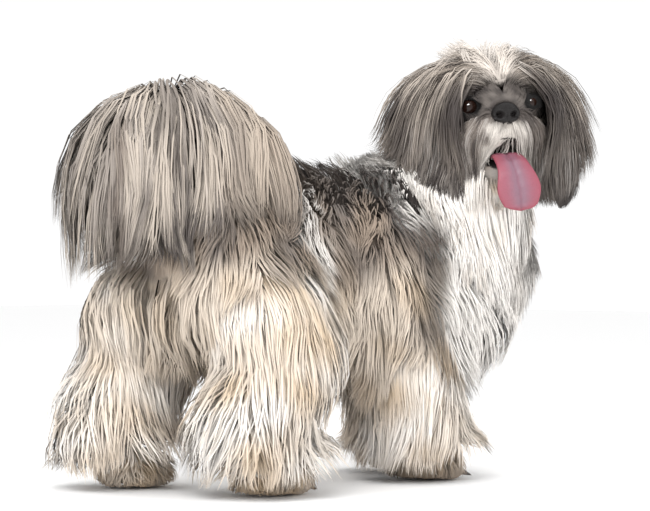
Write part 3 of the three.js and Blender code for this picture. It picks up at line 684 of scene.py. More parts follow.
def grow(limb, t, angle, lie, length, steps, lift=0.5, hug=0.3, full=(0.45, 1.05), over=0.0, wave=2.0,
         curl=0.0, clump=0.6, tufts=14, rise=0.6, sink=2.0, floor=FLOOR, own=0.5, lock=0.3):
    """Paths of tufts from their roots: they rise to the coat's depth, lie along it, fall and gather.

    lift raises the root, hug draws a tuft back to its layer, full is the range of layers as shares of the
    coat's depth, over adds depth on other limbs, tufts is the number in a clump and own the share of the
    limb's own depth of coat.
    """
    count = len(t)
    number = number_of(limb)
    root, normal, _ = limb.skin(t, angle)
    paths = np.empty((count, steps + 1, 3))
    normals = np.empty((count, steps + 1, 3))
    paths[:, 0] = root - normal * sink
    normals[:, 0] = normal
    length = np.broadcast_to(np.asarray(length, float), (count,)) * rng.uniform(0.82, 1.12, count)
    reach = ((length + sink) / steps)[:, None]
    layer = rng.uniform(*full, count)
    own_coat = limb.slices(t)[4][:, 2] * limb.hung(np.sin(np.radians(angle)))
    heading = unit(unit(lie(paths[:, 0], normal, 0.0, root)) + normal * lift)
    for k in range(1, steps + 1):
        share = k / steps
        p = paths[:, k - 1] + heading * reach
        d, n, coat, owner = feel(p)
        coat = own * own_coat + (1 - own) * coat
        target = coat * layer * share**rise + np.where(owner == number, 0.0, over) * share
        short = target - d
        push = np.where(short > 0, np.minimum(short, MOST_PUSH * reach[:, 0]), short * hug)
        p = p + n * push[:, None]
        swing = np.cross(heading, n)
        sway = wave * np.stack([ripple(p, SWAY, 13), ripple(p, SWAY, 18)], 1)
        p = p + swing * sway[:, :1] * share + n * sway[:, 1:] * share * 0.6
        p[:, 2] = np.maximum(p[:, 2], floor + 1.5 * layer)
        step = p - paths[:, k - 1]
        size = np.linalg.norm(step, axis=1, keepdims=True)
        p = paths[:, k - 1] + step * np.minimum(1.0, MOST_STEP * reach / np.maximum(size, 1e-6))
        moved = unit(p - paths[:, k - 1])
        heading = unit((1 - STEER) * moved + STEER * unit(lie(p, n, share, root)))
        paths[:, k] = p
        normals[:, k] = unit(n + normals[:, k - 1])
    shares = np.linspace(0, 1, steps + 1)[None, :, None]
    shade = rng.random(count)
    near = {}
    for level, size, strength in (("lock", LOCK_TUFTS * tufts, lock), ("clump", tufts, clump)):
        nearest = nearest_guides(root, max(1, count // size))
        spread = (root - root[nearest])[:, None, :]
        pull = strength * shares**1.1 * rng.uniform(0.6, 1.0, count)[:, None, None]
        paths = paths + (paths[nearest] + spread * (1 - 0.7 * shares) - paths) * pull
        near[level] = shade[nearest]
    if curl:
        turn = rng.uniform(0, TURN, count)[:, None, None] + CURL_TURN * shares
        side = np.cross(unit(paths[:, -1] - paths[:, 0]), normal)[:, None, :] * np.sin(turn)
        out = normal[:, None, :] * np.cos(turn)
        paths = paths + side * curl * shares**2 + out * curl * 0.6 * shares**2
    paths[..., 2] = np.maximum(paths[..., 2], floor)
    return {"paths": paths, "normals": normals, "t": t, "angle": angle, "limb": number, **near}


def hem(tips):
    """The height where the hair of the head is cut, lower on its right side."""
    return -86 - 10 * smooth(-tips[:, 1], 30, 60) + 3 * ripple(tips, 16, 4)


def trim(tufts):
    """Cut the ends off where they hang below the hem."""
    paths, normals = tufts["paths"], tufts["normals"]
    last = paths.shape[1] - 1
    h = in_head(paths)
    limit = hem(h[:, -1])[:, None]
    below = h[..., 2] < limit
    first = np.where(below.any(1), below.argmax(1), last)
    first = np.maximum(first, 1)
    rows = np.arange(len(paths))
    a, b = h[rows, first - 1, 2], h[rows, first, 2]
    part = np.clip((a - limit[:, 0]) / np.maximum(a - b, 1e-3), 0, 1)
    end = np.where(below.any(1), first - 1 + part, last) / last
    at = np.linspace(0, 1, last + 1)[None, :] * np.maximum(end, 0.2)[:, None] * last
    i = np.minimum(at.astype(int), last - 1)
    w = (at - i)[..., None]
    cut = dict(tufts)
    cut["paths"] = paths[rows[:, None], i] * (1 - w) + paths[rows[:, None], i + 1] * w
    cut["normals"] = unit(normals[rows[:, None], i] * (1 - w) + normals[rows[:, None], i + 1] * w)
    return cut


def keep(tufts, mask):
    return {k: (v[mask] if isinstance(v, np.ndarray) else v) for k, v in tufts.items()}


def clear_of(tufts, centre, radii, allowed=0.0):
    """Without the tufts that pass through an ellipsoid of the head's frame, apart from a share of them."""
    h = in_head(tufts["paths"][:, 1:])
    between = [h[:, :-1] * (1 - w) + h[:, 1:] * w for w in (0, 0.25, 0.5, 0.75)]
    h = np.concatenate([*between, h[:, -1:]], 1)
    inside = ((((h - centre) / radii) ** 2).sum(-1) < 1).any(1)
    return keep(tufts, ~inside | (rng.random(len(inside)) < allowed))


# What stays clear of hair: each eye, the nose, the mouth and the tongue
CLEARINGS = [((EYE_AHEAD + 16, y * (EYE_SPREAD + 0.5), EYE_UP), (14, 8.5, 6.5)) for y in (-1, 1)]
CLEARINGS += [((66, 0, -8), (10, 12, 9.5))]
CLEARINGS += [((54, 0, -45), (36, 14, 11), 0.06), ((68, 0, -66), (18, 17, 26), 0.02)]


def open_face(tufts):
    for clearing in CLEARINGS:
        tufts = clear_of(tufts, *clearing)
    return tufts


def open_brow(tufts):
    """Clear between and in front of the eyes too."""
    return open_face(clear_of(tufts, (56, 0, -4), (26, 26, 15)))


SECTION = np.array([(-1.0, -0.35), (1.0, -0.35), (0.0, 0.65)])  # corners of a tuft, across and out
PATCH = 0.003  # size of a tuft in its texture map
ATLAS = 5  # limbs along each side of the unwrap
TILE_EDGE, TILE_SPAN = 0.02, 0.94  # in sizes of a limb's tile
SOFTNESS = 0.18  # share of a tuft's own way in how it takes the light
TWIST = 0.3  # radians
LOWEST = 0.6  # height of the lowest corner of a tuft


def tuft_template(rings):
    """Corners and texture places of one tuft: a closed sleeve of three sides that ends in a point."""
    faces, places = [(0, 1, 2)], [((0, 0), (1 / 3, 0), (2 / 3, 0))]
    tip = 3 * rings
    for r in range(rings):
        low, high = r / rings, (r + 1) / rings
        for j in range(3):
            n = (j + 1) % 3
            a, b = 3 * r + j, 3 * r + n
            u, v = j / 3, (j + 1) / 3
            if r == rings - 1:
                faces.append((b, a, tip))
                places.append(((v, low), (u, low), ((u + v) / 2, high)))
                continue
            c, d = b + 3, a + 3
            faces += [(b, a, c), (c, a, d)]
            places += [((v, low), (u, low), (v, high)), ((v, high), (u, low), (u, high))]
    return np.array(faces), np.array(places)


def paint(mesh, tint):
    """Keep a colour for each of the mesh's points."""
    rgba = np.concatenate([np.clip(tint, 0, 1), np.ones((*tint.shape[:-1], 1))], -1).reshape(-1)
    colours = mesh.color_attributes.new("Coat", "FLOAT_COLOR", "POINT")
    colours.data.foreach_set("color", rgba.astype(np.float32))


def place_piece(name, mesh, material):
    """Put a mesh in the scene as a piece that rides on the body."""
    mesh.materials.append(material)
    piece = bpy.data.objects.new(name, mesh)
    bpy.context.scene.collection.objects.link(piece)
    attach(piece, "root")
    return piece


def coat_piece(name, coat, tufts, colour_of):
    """One mesh of tufts, with its colours and its two texture maps."""
    paths, normals = tufts["paths"], tufts["normals"]
    count, points, _ = paths.shape
    rings = points - 1
    share = np.linspace(0, 1, points)
    tangent = np.empty_like(paths)
    tangent[:, 1:-1] = paths[:, 2:] - paths[:, :-2]
    tangent[:, 0] = paths[:, 1] - paths[:, 0]
    tangent[:, -1] = paths[:, -1] - paths[:, -2]
    tangent = unit(tangent)
    across = unit(np.cross(tangent, normals))
    up = np.cross(across, tangent)
    twist = rng.normal(0, TWIST, count)[:, None, None]
    c, s = np.cos(twist), np.sin(twist)
    across, up = across * c + up * s, up * c - across * s
    girth = (0.55 + 0.45 * np.minimum(1, 3 * share)) * (1 - share) ** coat.blunt
    bulk = rng.uniform(0.65, 1.25, count)[:, None]
    w = (bulk * coat.half_width * girth)[:, :-1, None]
    h = (bulk * coat.thickness * girth)[:, :-1, None]
    corners = [paths[:, :-1] + across[:, :-1] * a * w + up[:, :-1] * b * h for a, b in SECTION]
    body = np.stack(corners, 2).reshape(count, rings * 3, 3)
    places = np.concatenate([body, paths[:, -1:]], 1)
    places[..., 2] = np.maximum(places[..., 2], LOWEST)
    faces, uv = tuft_template(rings)
    total = count * len(faces)
    index = (faces[None] + (np.arange(count) * (rings * 3 + 1))[:, None, None]).reshape(-1)
    mesh = bpy.data.meshes.new(name)
    mesh.vertices.add(count * (rings * 3 + 1))
    mesh.vertices.foreach_set("co", to_world(places).reshape(-1).astype(np.float32))
    mesh.loops.add(total * 3)
    mesh.loops.foreach_set("vertex_index", index.astype(np.int32))
    mesh.polygons.add(total)
    mesh.polygons.foreach_set("loop_start", np.arange(0, total * 3, 3, dtype=np.int32))
    mesh.polygons.foreach_set("use_smooth", np.ones(total, bool))
    mesh.update(calc_edges=True)
    around = [across[:, :-1] * a + up[:, :-1] * b * 1.6 for a, b in SECTION]
    own_way = unit(np.stack(around, 2).reshape(count, rings * 3, 3))
    body_way = np.concatenate([np.repeat(normals[:, :-1], 3, axis=1), normals[:, -1:]], 1)
    blend = unit(body_way + SOFTNESS * np.concatenate([own_way, normals[:, -1:]], 1))
    mesh.normals_split_custom_set_from_vertices(blend.reshape(-1, 3).astype(np.float32))
    # Colours, a little different from tuft to tuft
    lock = (0.5 * tufts["lock"] + 0.3 * tufts["clump"])[:, None] * np.ones(points)
    single = rng.random(count)[:, None] * np.ones(points)
    shares = share[None, :] * np.ones((count, 1))
    tint = colour_of(paths, in_head(paths), shares, np.clip(lock + 0.2 * single, 0, 1))
    tint = tint * (1 + 0.14 * (single - 0.5) + 0.16 * (lock - 0.4))[..., None]
    # Painted shade: each tuft a little darker towards its root, deep in the coat
    tint = tint * (0.9 + 0.1 * smooth(shares, 0.0, 0.4))[..., None]
    paint(mesh, np.concatenate([np.repeat(tint[:, :-1], 3, axis=1), tint[:, -1:]], 1))
    # A patch for each tuft at its root's place on the limb's own unwrap
    row, column = divmod(tufts["limb"], ATLAS)
    base = np.stack([column + TILE_EDGE + TILE_SPAN * (tufts["angle"] % 360) / 360,
                     row + TILE_EDGE + TILE_SPAN * tufts["t"]], -1) / ATLAS
    bake = base[:, None, None, :] + uv[None] * PATCH
    mesh.uv_layers.new(name="OFBake").data.foreach_set("uv", bake.reshape(-1).astype(np.float32))
    strand = uv[None] + rng.uniform(0, 40, count)[:, None, None, None] * [1, 0]
    mesh.uv_layers.new(name="Strand").data.foreach_set("uv", strand.reshape(-1).astype(np.float32))
    place_piece(name, mesh, coat.material)


# Materials
def new_material(name):
    material = bpy.data.materials.new(name)
    material.use_nodes = True
    tree = material.node_tree
    return material, tree, tree.nodes["Principled BSDF"]


def node(tree, kind, **values):
    made = tree.nodes.new(kind)
    for key, value in values.items():
        if key in made.inputs:
            made.inputs[key].default_value = value
        else:
            setattr(made, key, value)
    return made


def over_object(tree):
    return node(tree, "ShaderNodeTexCoord").outputs["Object"]


def along_strand(across):
    """Places across and along each tuft, stretched across it by a factor."""
    def made(tree):
        scale = node(tree, "ShaderNodeMapping")
        scale.inputs["Scale"].default_value = (across, 0.8, 1)
        tree.links.new(node(tree, "ShaderNodeUVMap", uv_map="Strand").outputs["UV"], scale.inputs["Vector"])
        return scale.outputs["Vector"]

    return made


def pattern(tree, shader, texture, where, depth, invert=False):
    """A fine pattern that also stands out of the surface: its strength and its height in metres."""
    made = node(tree, "ShaderNodeTex" + texture[0], **texture[1])
    value = made.outputs["Distance" if texture[0] == "Voronoi" else "Fac"]
    tree.links.new(where(tree), made.inputs["Vector"])
    if depth:
        bump = node(tree, "ShaderNodeBump", Strength=depth[0], Distance=depth[1], invert=invert)
        tree.links.new(value, bump.inputs["Height"])
        tree.links.new(bump.outputs["Normal"], shader.inputs["Normal"])
    return value


def tinted_material(name, texture, where, depth, shades, roughness, specular=0.5, spread=(0, 1),
                    invert=False):
    """Tinted by the mesh's own colours, which the pattern makes darker and lighter between two shades."""
    material, tree, shader = new_material(name)
    value = pattern(tree, shader, texture, where, depth, invert)
    tint = node(tree, "ShaderNodeVertexColor", layer_name="Coat")
    shade = node(tree, "ShaderNodeMapRange")
    for key, amount in zip(("From Min", "From Max", "To Min", "To Max"), (*spread, *shades)):
        shade.inputs[key].default_value = amount
    both = node(tree, "ShaderNodeMix", data_type="RGBA", blend_type="MULTIPLY")
    both.inputs["Factor"].default_value = 1.0
    tree.links.new(value, shade.inputs["Value"])
    tree.links.new(tint.outputs["Color"], both.inputs["A"])
    tree.links.new(shade.outputs["Result"], both.inputs["B"])
    tree.links.new(both.outputs["Result"], shader.inputs["Base Color"])
    shader.inputs["Roughness"].default_value = roughness
    shader.inputs["Specular IOR Level"].default_value = specular
    return material


def plain_material(name, texture, colours, roughness, specular=0.5, depth=None):
    """A pattern between two colours."""
    material, tree, shader = new_material(name)
    value = pattern(tree, shader, texture, over_object, depth, invert=True)
    ramp = node(tree, "ShaderNodeValToRGB")
    for element, colour in zip(ramp.color_ramp.elements, colours):
        element.color = (*colour, 1)
    tree.links.new(value, ramp.inputs["Fac"])
    tree.links.new(ramp.outputs["Color"], shader.inputs["Base Color"])
    shader.inputs["Roughness"].default_value = roughness
    shader.inputs["Specular IOR Level"].default_value = specular
    return material


def hair_material(name, roughness, streak, fine):
    """Fine hairs drawn along each tuft."""
    hairs = ("Noise", {"Scale": 2.0, "Detail": 2.0, "Roughness": 0.6, "noise_dimensions": "2D"})
    return tinted_material(name, hairs, along_strand(fine), (0.35, 0.0006), (1 - streak, 1 + streak * 0.7),
                           roughness, 0.25, (0.3, 0.7))


coat_hair = hair_material("coat_hair", 0.6, 0.22, 12.0)
face_hair = hair_material("face_hair", 0.48, 0.24, 7.0)
skin_fuzz = tinted_material("skin", ("Noise", {"Scale": 520.0, "Detail": 3.0, "Roughness": 0.65}),
                            over_object, (0.6, 0.0012), (0.8, 1.05), 0.8)
tongue_flesh = tinted_material("tongue_flesh", ("Voronoi", {"Scale": 1100.0}), over_object, (0.4, 0.0003),
                               (1.06, 0.86), 0.36, invert=True)
eye_glass = plain_material("eye_glass", ("Noise", {"Scale": 300.0, "Detail": 2.0}),
                           ((0.004, 0.002, 0.0015), (0.009, 0.004, 0.0028)), 0.03, 0.3)
nose_leather = plain_material("nose_leather", ("Voronoi", {"Scale": 900.0}),
                              ((0.016, 0.014, 0.014), (0.006, 0.005, 0.005)), 0.38, 0.25, (0.55, 0.0004))
claw_horn = plain_material("claw_horn", ("Noise", {"Scale": 700.0, "Detail": 3.0}),
                           ((0.02, 0.016, 0.015), (0.07, 0.055, 0.045)), 0.35)
flesh = tongue_flesh.node_tree.nodes["Principled BSDF"].inputs
flesh["Subsurface Weight"].default_value = 0.15
flesh["Subsurface Radius"].default_value = (1.0, 0.4, 0.3)
flesh["Subsurface Scale"].default_value = 0.004


# The coat's parts: tufts on each limb, joints of a tuft, its half width, thickness, hair and how it tapers
Coat = namedtuple("Coat", "count joints half_width thickness material blunt", defaults=(0.6,))
TORSO_COAT = Coat(6300, 4, 1.2, 0.5, coat_hair)
NECK_COAT = Coat(6000, 4, 1.45, 0.5, coat_hair)
LEG_COAT = Coat(3300, 4, 1.4, 0.5, coat_hair)
PAW_COAT = Coat(1000, 4, 1.0, 0.7, coat_hair)
TAIL_COAT = Coat(5700, 6, 1.25, 0.5, coat_hair)
HEAD_COAT = Coat(4700, 6, 0.85, 0.5, face_hair, 0.4)
TOPKNOT_COAT = Coat(50, 4, 0.9, 0.5, face_hair)
BROW_COAT = Coat(3800, 4, 0.6, 0.4, face_hair)
CHEEK_COAT = Coat(1900, 5, 0.8, 0.5, face_hair, 0.45)
LID_COAT = Coat(700, 3, 0.45, 0.3, face_hair)
FOLD_COAT = Coat(1500, 3, 0.45, 0.3, face_hair)
MUZZLE_COAT = Coat(3200, 5, 0.6, 0.4, face_hair)
BEARD_COAT = Coat(1200, 5, 0.7, 0.45, face_hair)
EAR_COAT = Coat(1500, 5, 1.1, 0.6, face_hair, 0.4)
CROWN_COAT = Coat(900, 4, 0.9, 0.5, face_hair)


def cover(name, slot, coat, limb, parts, lie, length, colour_of, cut=None, **growth):
    """Make one piece of coat on parts of a limb, with a length that may depend on the root."""
    t, angle = np.concatenate([roots_on(limb, coat.count, *part) for part in parts], 1)
    if callable(length):
        length = length(t, angle)
    tufts = grow(limb, t, angle, lie, length, coat.joints, **growth)
    coat_piece(name, coat, cut(tufts) if cut else tufts, colour_of)


# Body coat
def torso_lie(p, n, share, root):
    """Down the sides, backwards along the ridge, with slow swirls."""
    swirl = 0.55 * ripple(root, 90, 20)[:, None] * np.array([1.0, 0.0, 0.0])
    swirl = swirl + 0.3 * ripple(root, 40, 24)[:, None] * np.array([1.0, 0.0, 0.3])
    top = smooth(n[:, 2], 0.6, 0.95)[:, None]
    side = along(n, DOWN) + DOWN * 0.35 + np.array([-0.25, 0.0, 0.0]) + swirl
    return side * (1 - 0.7 * top) + np.array([-0.9, 0.0, 0.25]) * top


def torso_length(t, angle):
    top = np.sin(np.radians(angle))
    return 50 - 12 * np.maximum(top, 0) + 18 * np.maximum(-top, 0) + 14 * smooth(t, 0.78, 0.95)


for side, low in (("right", -90), ("left", 90)):
    cover("coat_torso_" + side, "saddle_coat", TORSO_COAT, limbs["torso"], [(0.0, 1.0, low, low + 180)],
          torso_lie, torso_length, torso_colour,
          hug=0.5, full=(0.7, 1.1), over=4, wave=4.5, curl=1.2, tufts=12, rise=0.45)
cover("coat_neck", "white_coat", NECK_COAT, limbs["neck"], [(0.12, 0.98, 0, 360)],
      fall(0.35), 60, neck_colour, open_face,
      hug=0.5, full=(0.7, 1.05), over=4, wave=3.5, curl=1.0, tufts=12, rise=0.5)

# Legs and paws
for name, leg in LEGS.items():
    limb, forward = limbs["leg_" + name], facing(leg["turn"])[0]
    front = "front" in name

    def leg_lie(p, n, share, root):
        swirl = 0.45 * ripple(root, 80, 21)[:, None] * forward * (1 - share)
        return along(n, DOWN) + DOWN * 0.9 + swirl - forward * (0.15 if front else 0.0)

    def leg_length(t, angle):
        return np.clip((limb.surface(t, angle)[0][:, 2] - 16) * 1.2, 12, 78)

    cover("coat_leg_" + name, "leg_coat", LEG_COAT, limb, [(0.03, 0.97, 0, 360)],
          leg_lie, leg_length, leg_colour,
          lift=0.7, hug=0.35, full=(0.7, 1.15 if front else 1.4), over=3, wave=6.0, curl=0.8, floor=5.0,
          own=0.9, rise=0.45)
    cover("coat_paw_" + name, "leg_coat", PAW_COAT, limbs["paw_" + name], [(0.1, 0.96, 0, 360)],
          fall(0.2), 22, paw_colour,
          lift=1.2, hug=0.2, full=(0.5, 1.4), wave=3.0, curl=4.0, tufts=9)


# Tail plume
def tail_ways(t, angle):
    """Which way each part of the plume spills."""
    a = angle % 360
    back_left, out_back, out_right, left = (facing(d)[0] for d in (140, -160, -100, 75))
    ahead = smooth(t, 0.5, 0.6)[:, None]
    leftward = back_left * (1 - ahead) + left * ahead
    rightward = out_back * (1 - ahead) + out_right * ahead
    goes_left = (a > 100 + rng.normal(0, 14, len(a))) & (a < 262)
    strength = rng.uniform(0.45, 0.9, len(a)) * (1 - 0.75 * smooth(t, 0.45, 0.75))
    return np.where(goes_left[:, None], 0.8 * leftward, rightward) * strength[:, None]


t, angle = roots_on(limbs["tail"], TAIL_COAT.count, 0.1, 0.99, 0, 360)
ways = tail_ways(t, angle)


def tail_lie(p, n, share, root):
    return DOWN + ways * max(0.0, 1 - share / 0.6) ** 1.6 * 3.2 + 0.3 * ripple(root, 50, 22)[:, None] * ways


length = np.where(t < 0.3, 90, 142) - 30 * smooth(t, 0.55, 1.0)
ahead = smooth(t, 0.5, 0.75)
tufts = grow(limbs["tail"], t, angle, tail_lie, length, TAIL_COAT.joints, lift=1.0, hug=0.04,
             full=(0.6, 1.55 - 0.85 * ahead), over=6 - 5 * ahead, wave=6.0, curl=2.0, clump=0.68, tufts=16,
             rise=0.5, own=0.8, lock=0.5)
# The plume rounds off behind instead of standing past the solids
ROUNDING, EARLY = 24, 10
behind = np.maximum(BACK_EDGE + EARLY - tufts["paths"][..., 0], 0)
tufts["paths"][..., 0] += behind - ROUNDING * (1 - np.exp(-behind / ROUNDING))
for side, mask in (("back", t < np.median(t)), ("front", t >= np.median(t))):
    coat_piece("coat_tail_" + side, TAIL_COAT, keep(tufts, mask), tail_colour)

# Head
skull, muzzle = limbs["skull"], limbs["muzzle"]
LEFT = head_way((0, 1, 0))
BACK = head_way((-1, 0, 0))
FORWARD = head_way((1, 0, 0))
UP = head_way((0, 0, 1))


def outward(root):
    """Away from the middle of the head, to the side that each root is on."""
    return np.where(in_head(root)[:, 1:2] < 0, -1.0, 1.0) * LEFT


def hanging(drop, spread):
    """Down the form, leaning outwards near the root."""
    return lambda p, n, share, root: along(n, DOWN) + DOWN * drop + outward(root) * spread * (1 - share)


def curtain_length(t, angle):
    return 88 + 30 * np.maximum(np.sin(np.radians(angle)), 0)


cover("coat_head", "face_coat", HEAD_COAT, skull, [(0.0, 0.66, -50, 230)],
      hanging(0.45, 0.45), curtain_length, head_colour, lambda tufts: trim(open_brow(tufts)),
      lift=0.4, hug=0.45, full=(0.5, 1.25), over=6, curl=1.5, clump=0.48, tufts=12)
cover("coat_topknot", "face_coat", TOPKNOT_COAT, skull, [(0.5, 0.6, 58, 66)],
      lambda p, n, share, root: UP + (BACK - LEFT) * 0.5 * share, 15, head_colour,
      lift=0.2, hug=0.0, full=(1.2, 1.5), curl=3.0, tufts=20)


def brow_lie(p, n, share, root):
    """Up and outwards from the parting, then over and down."""
    h = in_head(root)
    centre = (1 - smooth(np.abs(h[:, 1]), 2, 16))[:, None]
    start = outward(root) * (1.2 - 0.7 * centre) + UP * (0.35 + 0.6 * centre) + BACK * 0.5
    return start * (1 - share) ** 1.2 + (DOWN * 1.0 + outward(root) * 0.4) * share


def brow_length(t, angle):
    h = in_head(skull.surface(t, angle)[0])
    near = np.sqrt((np.abs(h[:, 1]) - EYE_SPREAD) ** 2 + (h[:, 2] - EYE_UP) ** 2)
    return np.clip(8 + 1.1 * (near - 10) + 14 * smooth(h[:, 2], 8, 26), 7, 52)


def cheek_length(t, angle):
    return np.clip(74 + 0.9 * (in_head(skull.surface(t, angle)[0])[:, 2] + 10), 30, 86)


cover("coat_brow", "face_coat", BROW_COAT, skull, [(0.6, 0.99, -30, 210)],
      brow_lie, brow_length, face_colour, open_brow,
      lift=0.35, hug=0.4, full=(0.5, 1.3), over=2, wave=1.2, curl=1.0, clump=0.5, tufts=10, sink=1.0)
cover("coat_cheeks", "face_coat", CHEEK_COAT, skull, [(0.52, 0.97, -80, 10), (0.52, 0.97, 170, 260)],
      hanging(0.5, 0.5), cheek_length, face_colour, lambda tufts: trim(open_face(tufts)),
      lift=0.3, hug=0.4, full=(0.5, 1.5), over=5, wave=1.6, curl=1.5, tufts=12, sink=1.0)


def lid_lie(p, n, share, root):
    """Away from the middle of the eye, and downwards at its sides."""
    h = in_head(root)
    y, z = np.abs(h[:, 1:2]) - EYE_SPREAD, h[:, 2:3] - EYE_UP
    far = np.maximum(np.hypot(y, z), 1)
    return (outward(root) * y + UP * z) / far + BACK * 0.7 + DOWN * 0.4 + outward(root) * 0.3


def fold_lie(p, n, share, root):
    return UP * 0.8 + outward(root) * 0.7 + BACK * 0.2


for side in ("right", "left"):
    cover("coat_lid_" + side, "face_coat", LID_COAT, limbs["lid_" + side], [(0.4, 0.97, 0, 360)],
          lid_lie, 8, face_colour, open_face,
          hug=0.2, full=(0.4, 1.0), wave=0.6, clump=0.3, tufts=8, sink=0.8)
cover("coat_fold", "face_coat", FOLD_COAT, limbs["fold"], [(0.02, 0.98, 0, 360)],
      fold_lie, 10, fold_colour, open_face,
      lift=0.4, full=(0.4, 1.0), wave=1.2, clump=0.2, tufts=6, sink=0.8, lock=0.1)


def muzzle_top(h):
    return (1 - smooth(np.abs(h[..., 1]), 7, 16)) * smooth(h[..., 2], -12, -4)


def muzzle_lie(p, n, share, root):
    """Outwards and down beside the mouth, up over the bridge of the nose."""
    h = in_head(root)
    wide = np.clip(np.abs(h[:, 1:2]) / 22, 0, 1)
    side = outward(root)
    down = along(n, DOWN) * 0.6 + DOWN * 0.8 + side * (0.15 + 0.75 * wide) * (1 - share) + FORWARD * 0.2
    top = muzzle_top(h)[:, None]
    return down * (1 - top) + (UP * 0.9 + BACK * 0.7 + side * 0.5) * top


def muzzle_length(t, angle):
    h = in_head(muzzle.surface(t, angle)[0])
    length = np.clip(12 + 1.9 * np.abs(h[:, 1]) - 0.4 * (h[:, 0] - 40), 7, 60)
    return length * (1 - muzzle_top(h)) + 7 * muzzle_top(h)


def muzzle_colour(p, h, share, g):
    return mix(moustache_colour(p, h, share, g), DARK, 0.9 * muzzle_top(h[:, :1]))


cover("coat_muzzle", "face_coat", MUZZLE_COAT, muzzle, [(0.05, 0.99, -100, 280)],
      muzzle_lie, muzzle_length, muzzle_colour, open_face,
      lift=0.3, hug=0.25, full=(0.5, 1.5), over=4, wave=1.4, curl=1.2, clump=0.5, tufts=10, sink=1.0)
cover("coat_beard", "white_coat", BEARD_COAT, limbs["jaw"], [(0.15, 1.0, 180, 360)],
      fall(0.8), 30, beard_colour, open_face,
      lift=0.3, hug=0.2, over=3, wave=1.5, curl=1.5, clump=0.5, tufts=10, sink=1.0)
for side in ("right", "left"):
    cover("coat_ear_" + side, "ear_coat", EAR_COAT, limbs["ear_" + side], [(0.05, 0.97, 0, 360)],
          hanging(0.8, 0.4), 66, ear_colour, lambda tufts: trim(open_face(tufts)),
          lift=0.4, hug=0.25, full=(0.4, 1.1), over=2, curl=2.0, clump=0.45, tufts=12, lock=0.15)
# Short hair that fills the parting, lying back and a little to each side
cover("coat_crown", "face_coat", CROWN_COAT, skull, [(0.12, 0.8, 60, 120)],
      lambda p, n, share, root: BACK * 0.8 + outward(root) * 0.5 + UP * 0.3, 30, head_colour, open_brow,
      lift=0.8, full=(0.3, 0.75), wave=1.5, curl=1.0, clump=0.4, tufts=10)


# Skin
def new_piece(name, places, faces, material):
    mesh = bpy.data.meshes.new(name)
    mesh.from_pydata([tuple(p) for p in to_world(places)], [], [tuple(f) for f in faces])
    mesh.shade_smooth()
    return place_piece(name, mesh, material)


def ball(radii, around, rings):
    """An ellipsoid about the origin with its poles ahead and behind: its places and its faces."""
    theta = np.linspace(0, math.pi, rings)
    phi = np.linspace(0, 2 * math.pi, around, endpoint=False)
    tt, pp = np.repeat(theta[1:-1], around), np.tile(phi, rings - 2)
    body = np.stack([np.cos(tt), np.sin(tt) * np.cos(pp), np.sin(tt) * np.sin(pp)], 1)
    places = np.vstack([[1, 0, 0], body, [-1, 0, 0]])
    faces = []
    for k in range(around):
        n = (k + 1) % around
        faces.append((0, 1 + k, 1 + n))
        for r in range(rings - 3):
            a, b = 1 + r * around + k, 1 + r * around + n
            faces.append((a, a + around, b + around, b))
        last = 1 + (rings - 3) * around
        faces.append((last + k, len(places) - 1, last + n))
    return places * radii, faces


FLESH = ["head", "lower_jaw", "ear_right", "ear_left", "neck", "torso", "tail"]
FLESH += ["leg_" + name for name in LEGS] + ["paw_" + name for name in LEGS]
MOUTH = ((40, 0, -42), (24, 18, 13))
OPENINGS = [MOUTH] + [((46, y * 28.5, 1), (9, 9.3, 6.8)) for y in (-1, 1)]
VOXEL = 0.0024
TOE = (15, 7, 9)
TOES = (-1.5, -0.5, 0.5, 1.5)  # places across a foot, in spacings
TOE_SPACING = 10


def lip_line(wide, front, height, drop):
    return head_limb([
        (front - 28, -wide, height, 3, 3),
        (front - 10, -wide, height - drop, 3.5, 3.5),
        (front, 0, height - drop, 3, 3),
        (front - 10, wide, height - drop, 3.5, 3.5),
        (front - 28, wide, height, 3, 3),
    ], (0, 0, 1))


parts = [limb.mesh() for limb in limbs.values()]
parts += [lip_line(23, 50, -29, -1).mesh(), lip_line(15, 46, -48, 6).mesh()]
for leg in LEGS.values():
    forward, aside = facing(leg["turn"])
    for i in TOES:
        places, faces = ball(TOE, 16, 12)
        spot = leg_place(leg, 25 - 3.5 * abs(i), 0, 9) - aside * i * TOE_SPACING
        toe = spot + places[:, :1] * forward - places[:, 1:2] * aside + places[:, 2:] * -DOWN
        parts.append((toe, faces))
places, faces, first = [], [], 0
for body, body_faces in parts:
    places.append(body)
    faces += [tuple(i + first for i in f) for f in body_faces]
    first += len(body)
skin = new_piece("skin", np.vstack(places), faces, skin_fuzz)


def apply_modifiers(piece):
    graph = bpy.context.evaluated_depsgraph_get()
    done = bpy.data.meshes.new_from_object(piece.evaluated_get(graph))
    piece.modifiers.clear()
    piece.data = done
    done.shade_smooth()


remesh = skin.modifiers.new("Remesh", "REMESH")
remesh.mode = "VOXEL"
remesh.voxel_size = VOXEL
remesh.use_smooth_shade = True
relax = skin.modifiers.new("Smooth", "SMOOTH")
relax.factor = 0.5
relax.iterations = 3
apply_modifiers(skin)
for centre, radii in OPENINGS:
    places, faces = ball(radii, 48, 32)
    cutter = new_piece("opening", on_head(places + centre), faces, skin_fuzz)
    cut = skin.modifiers.new("Opening", "BOOLEAN")
    cut.operation = "DIFFERENCE"
    cut.object = cutter
    cut.solver = "FAST"
    apply_modifiers(skin)
    bpy.data.objects.remove(cutter)
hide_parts(*FLESH)
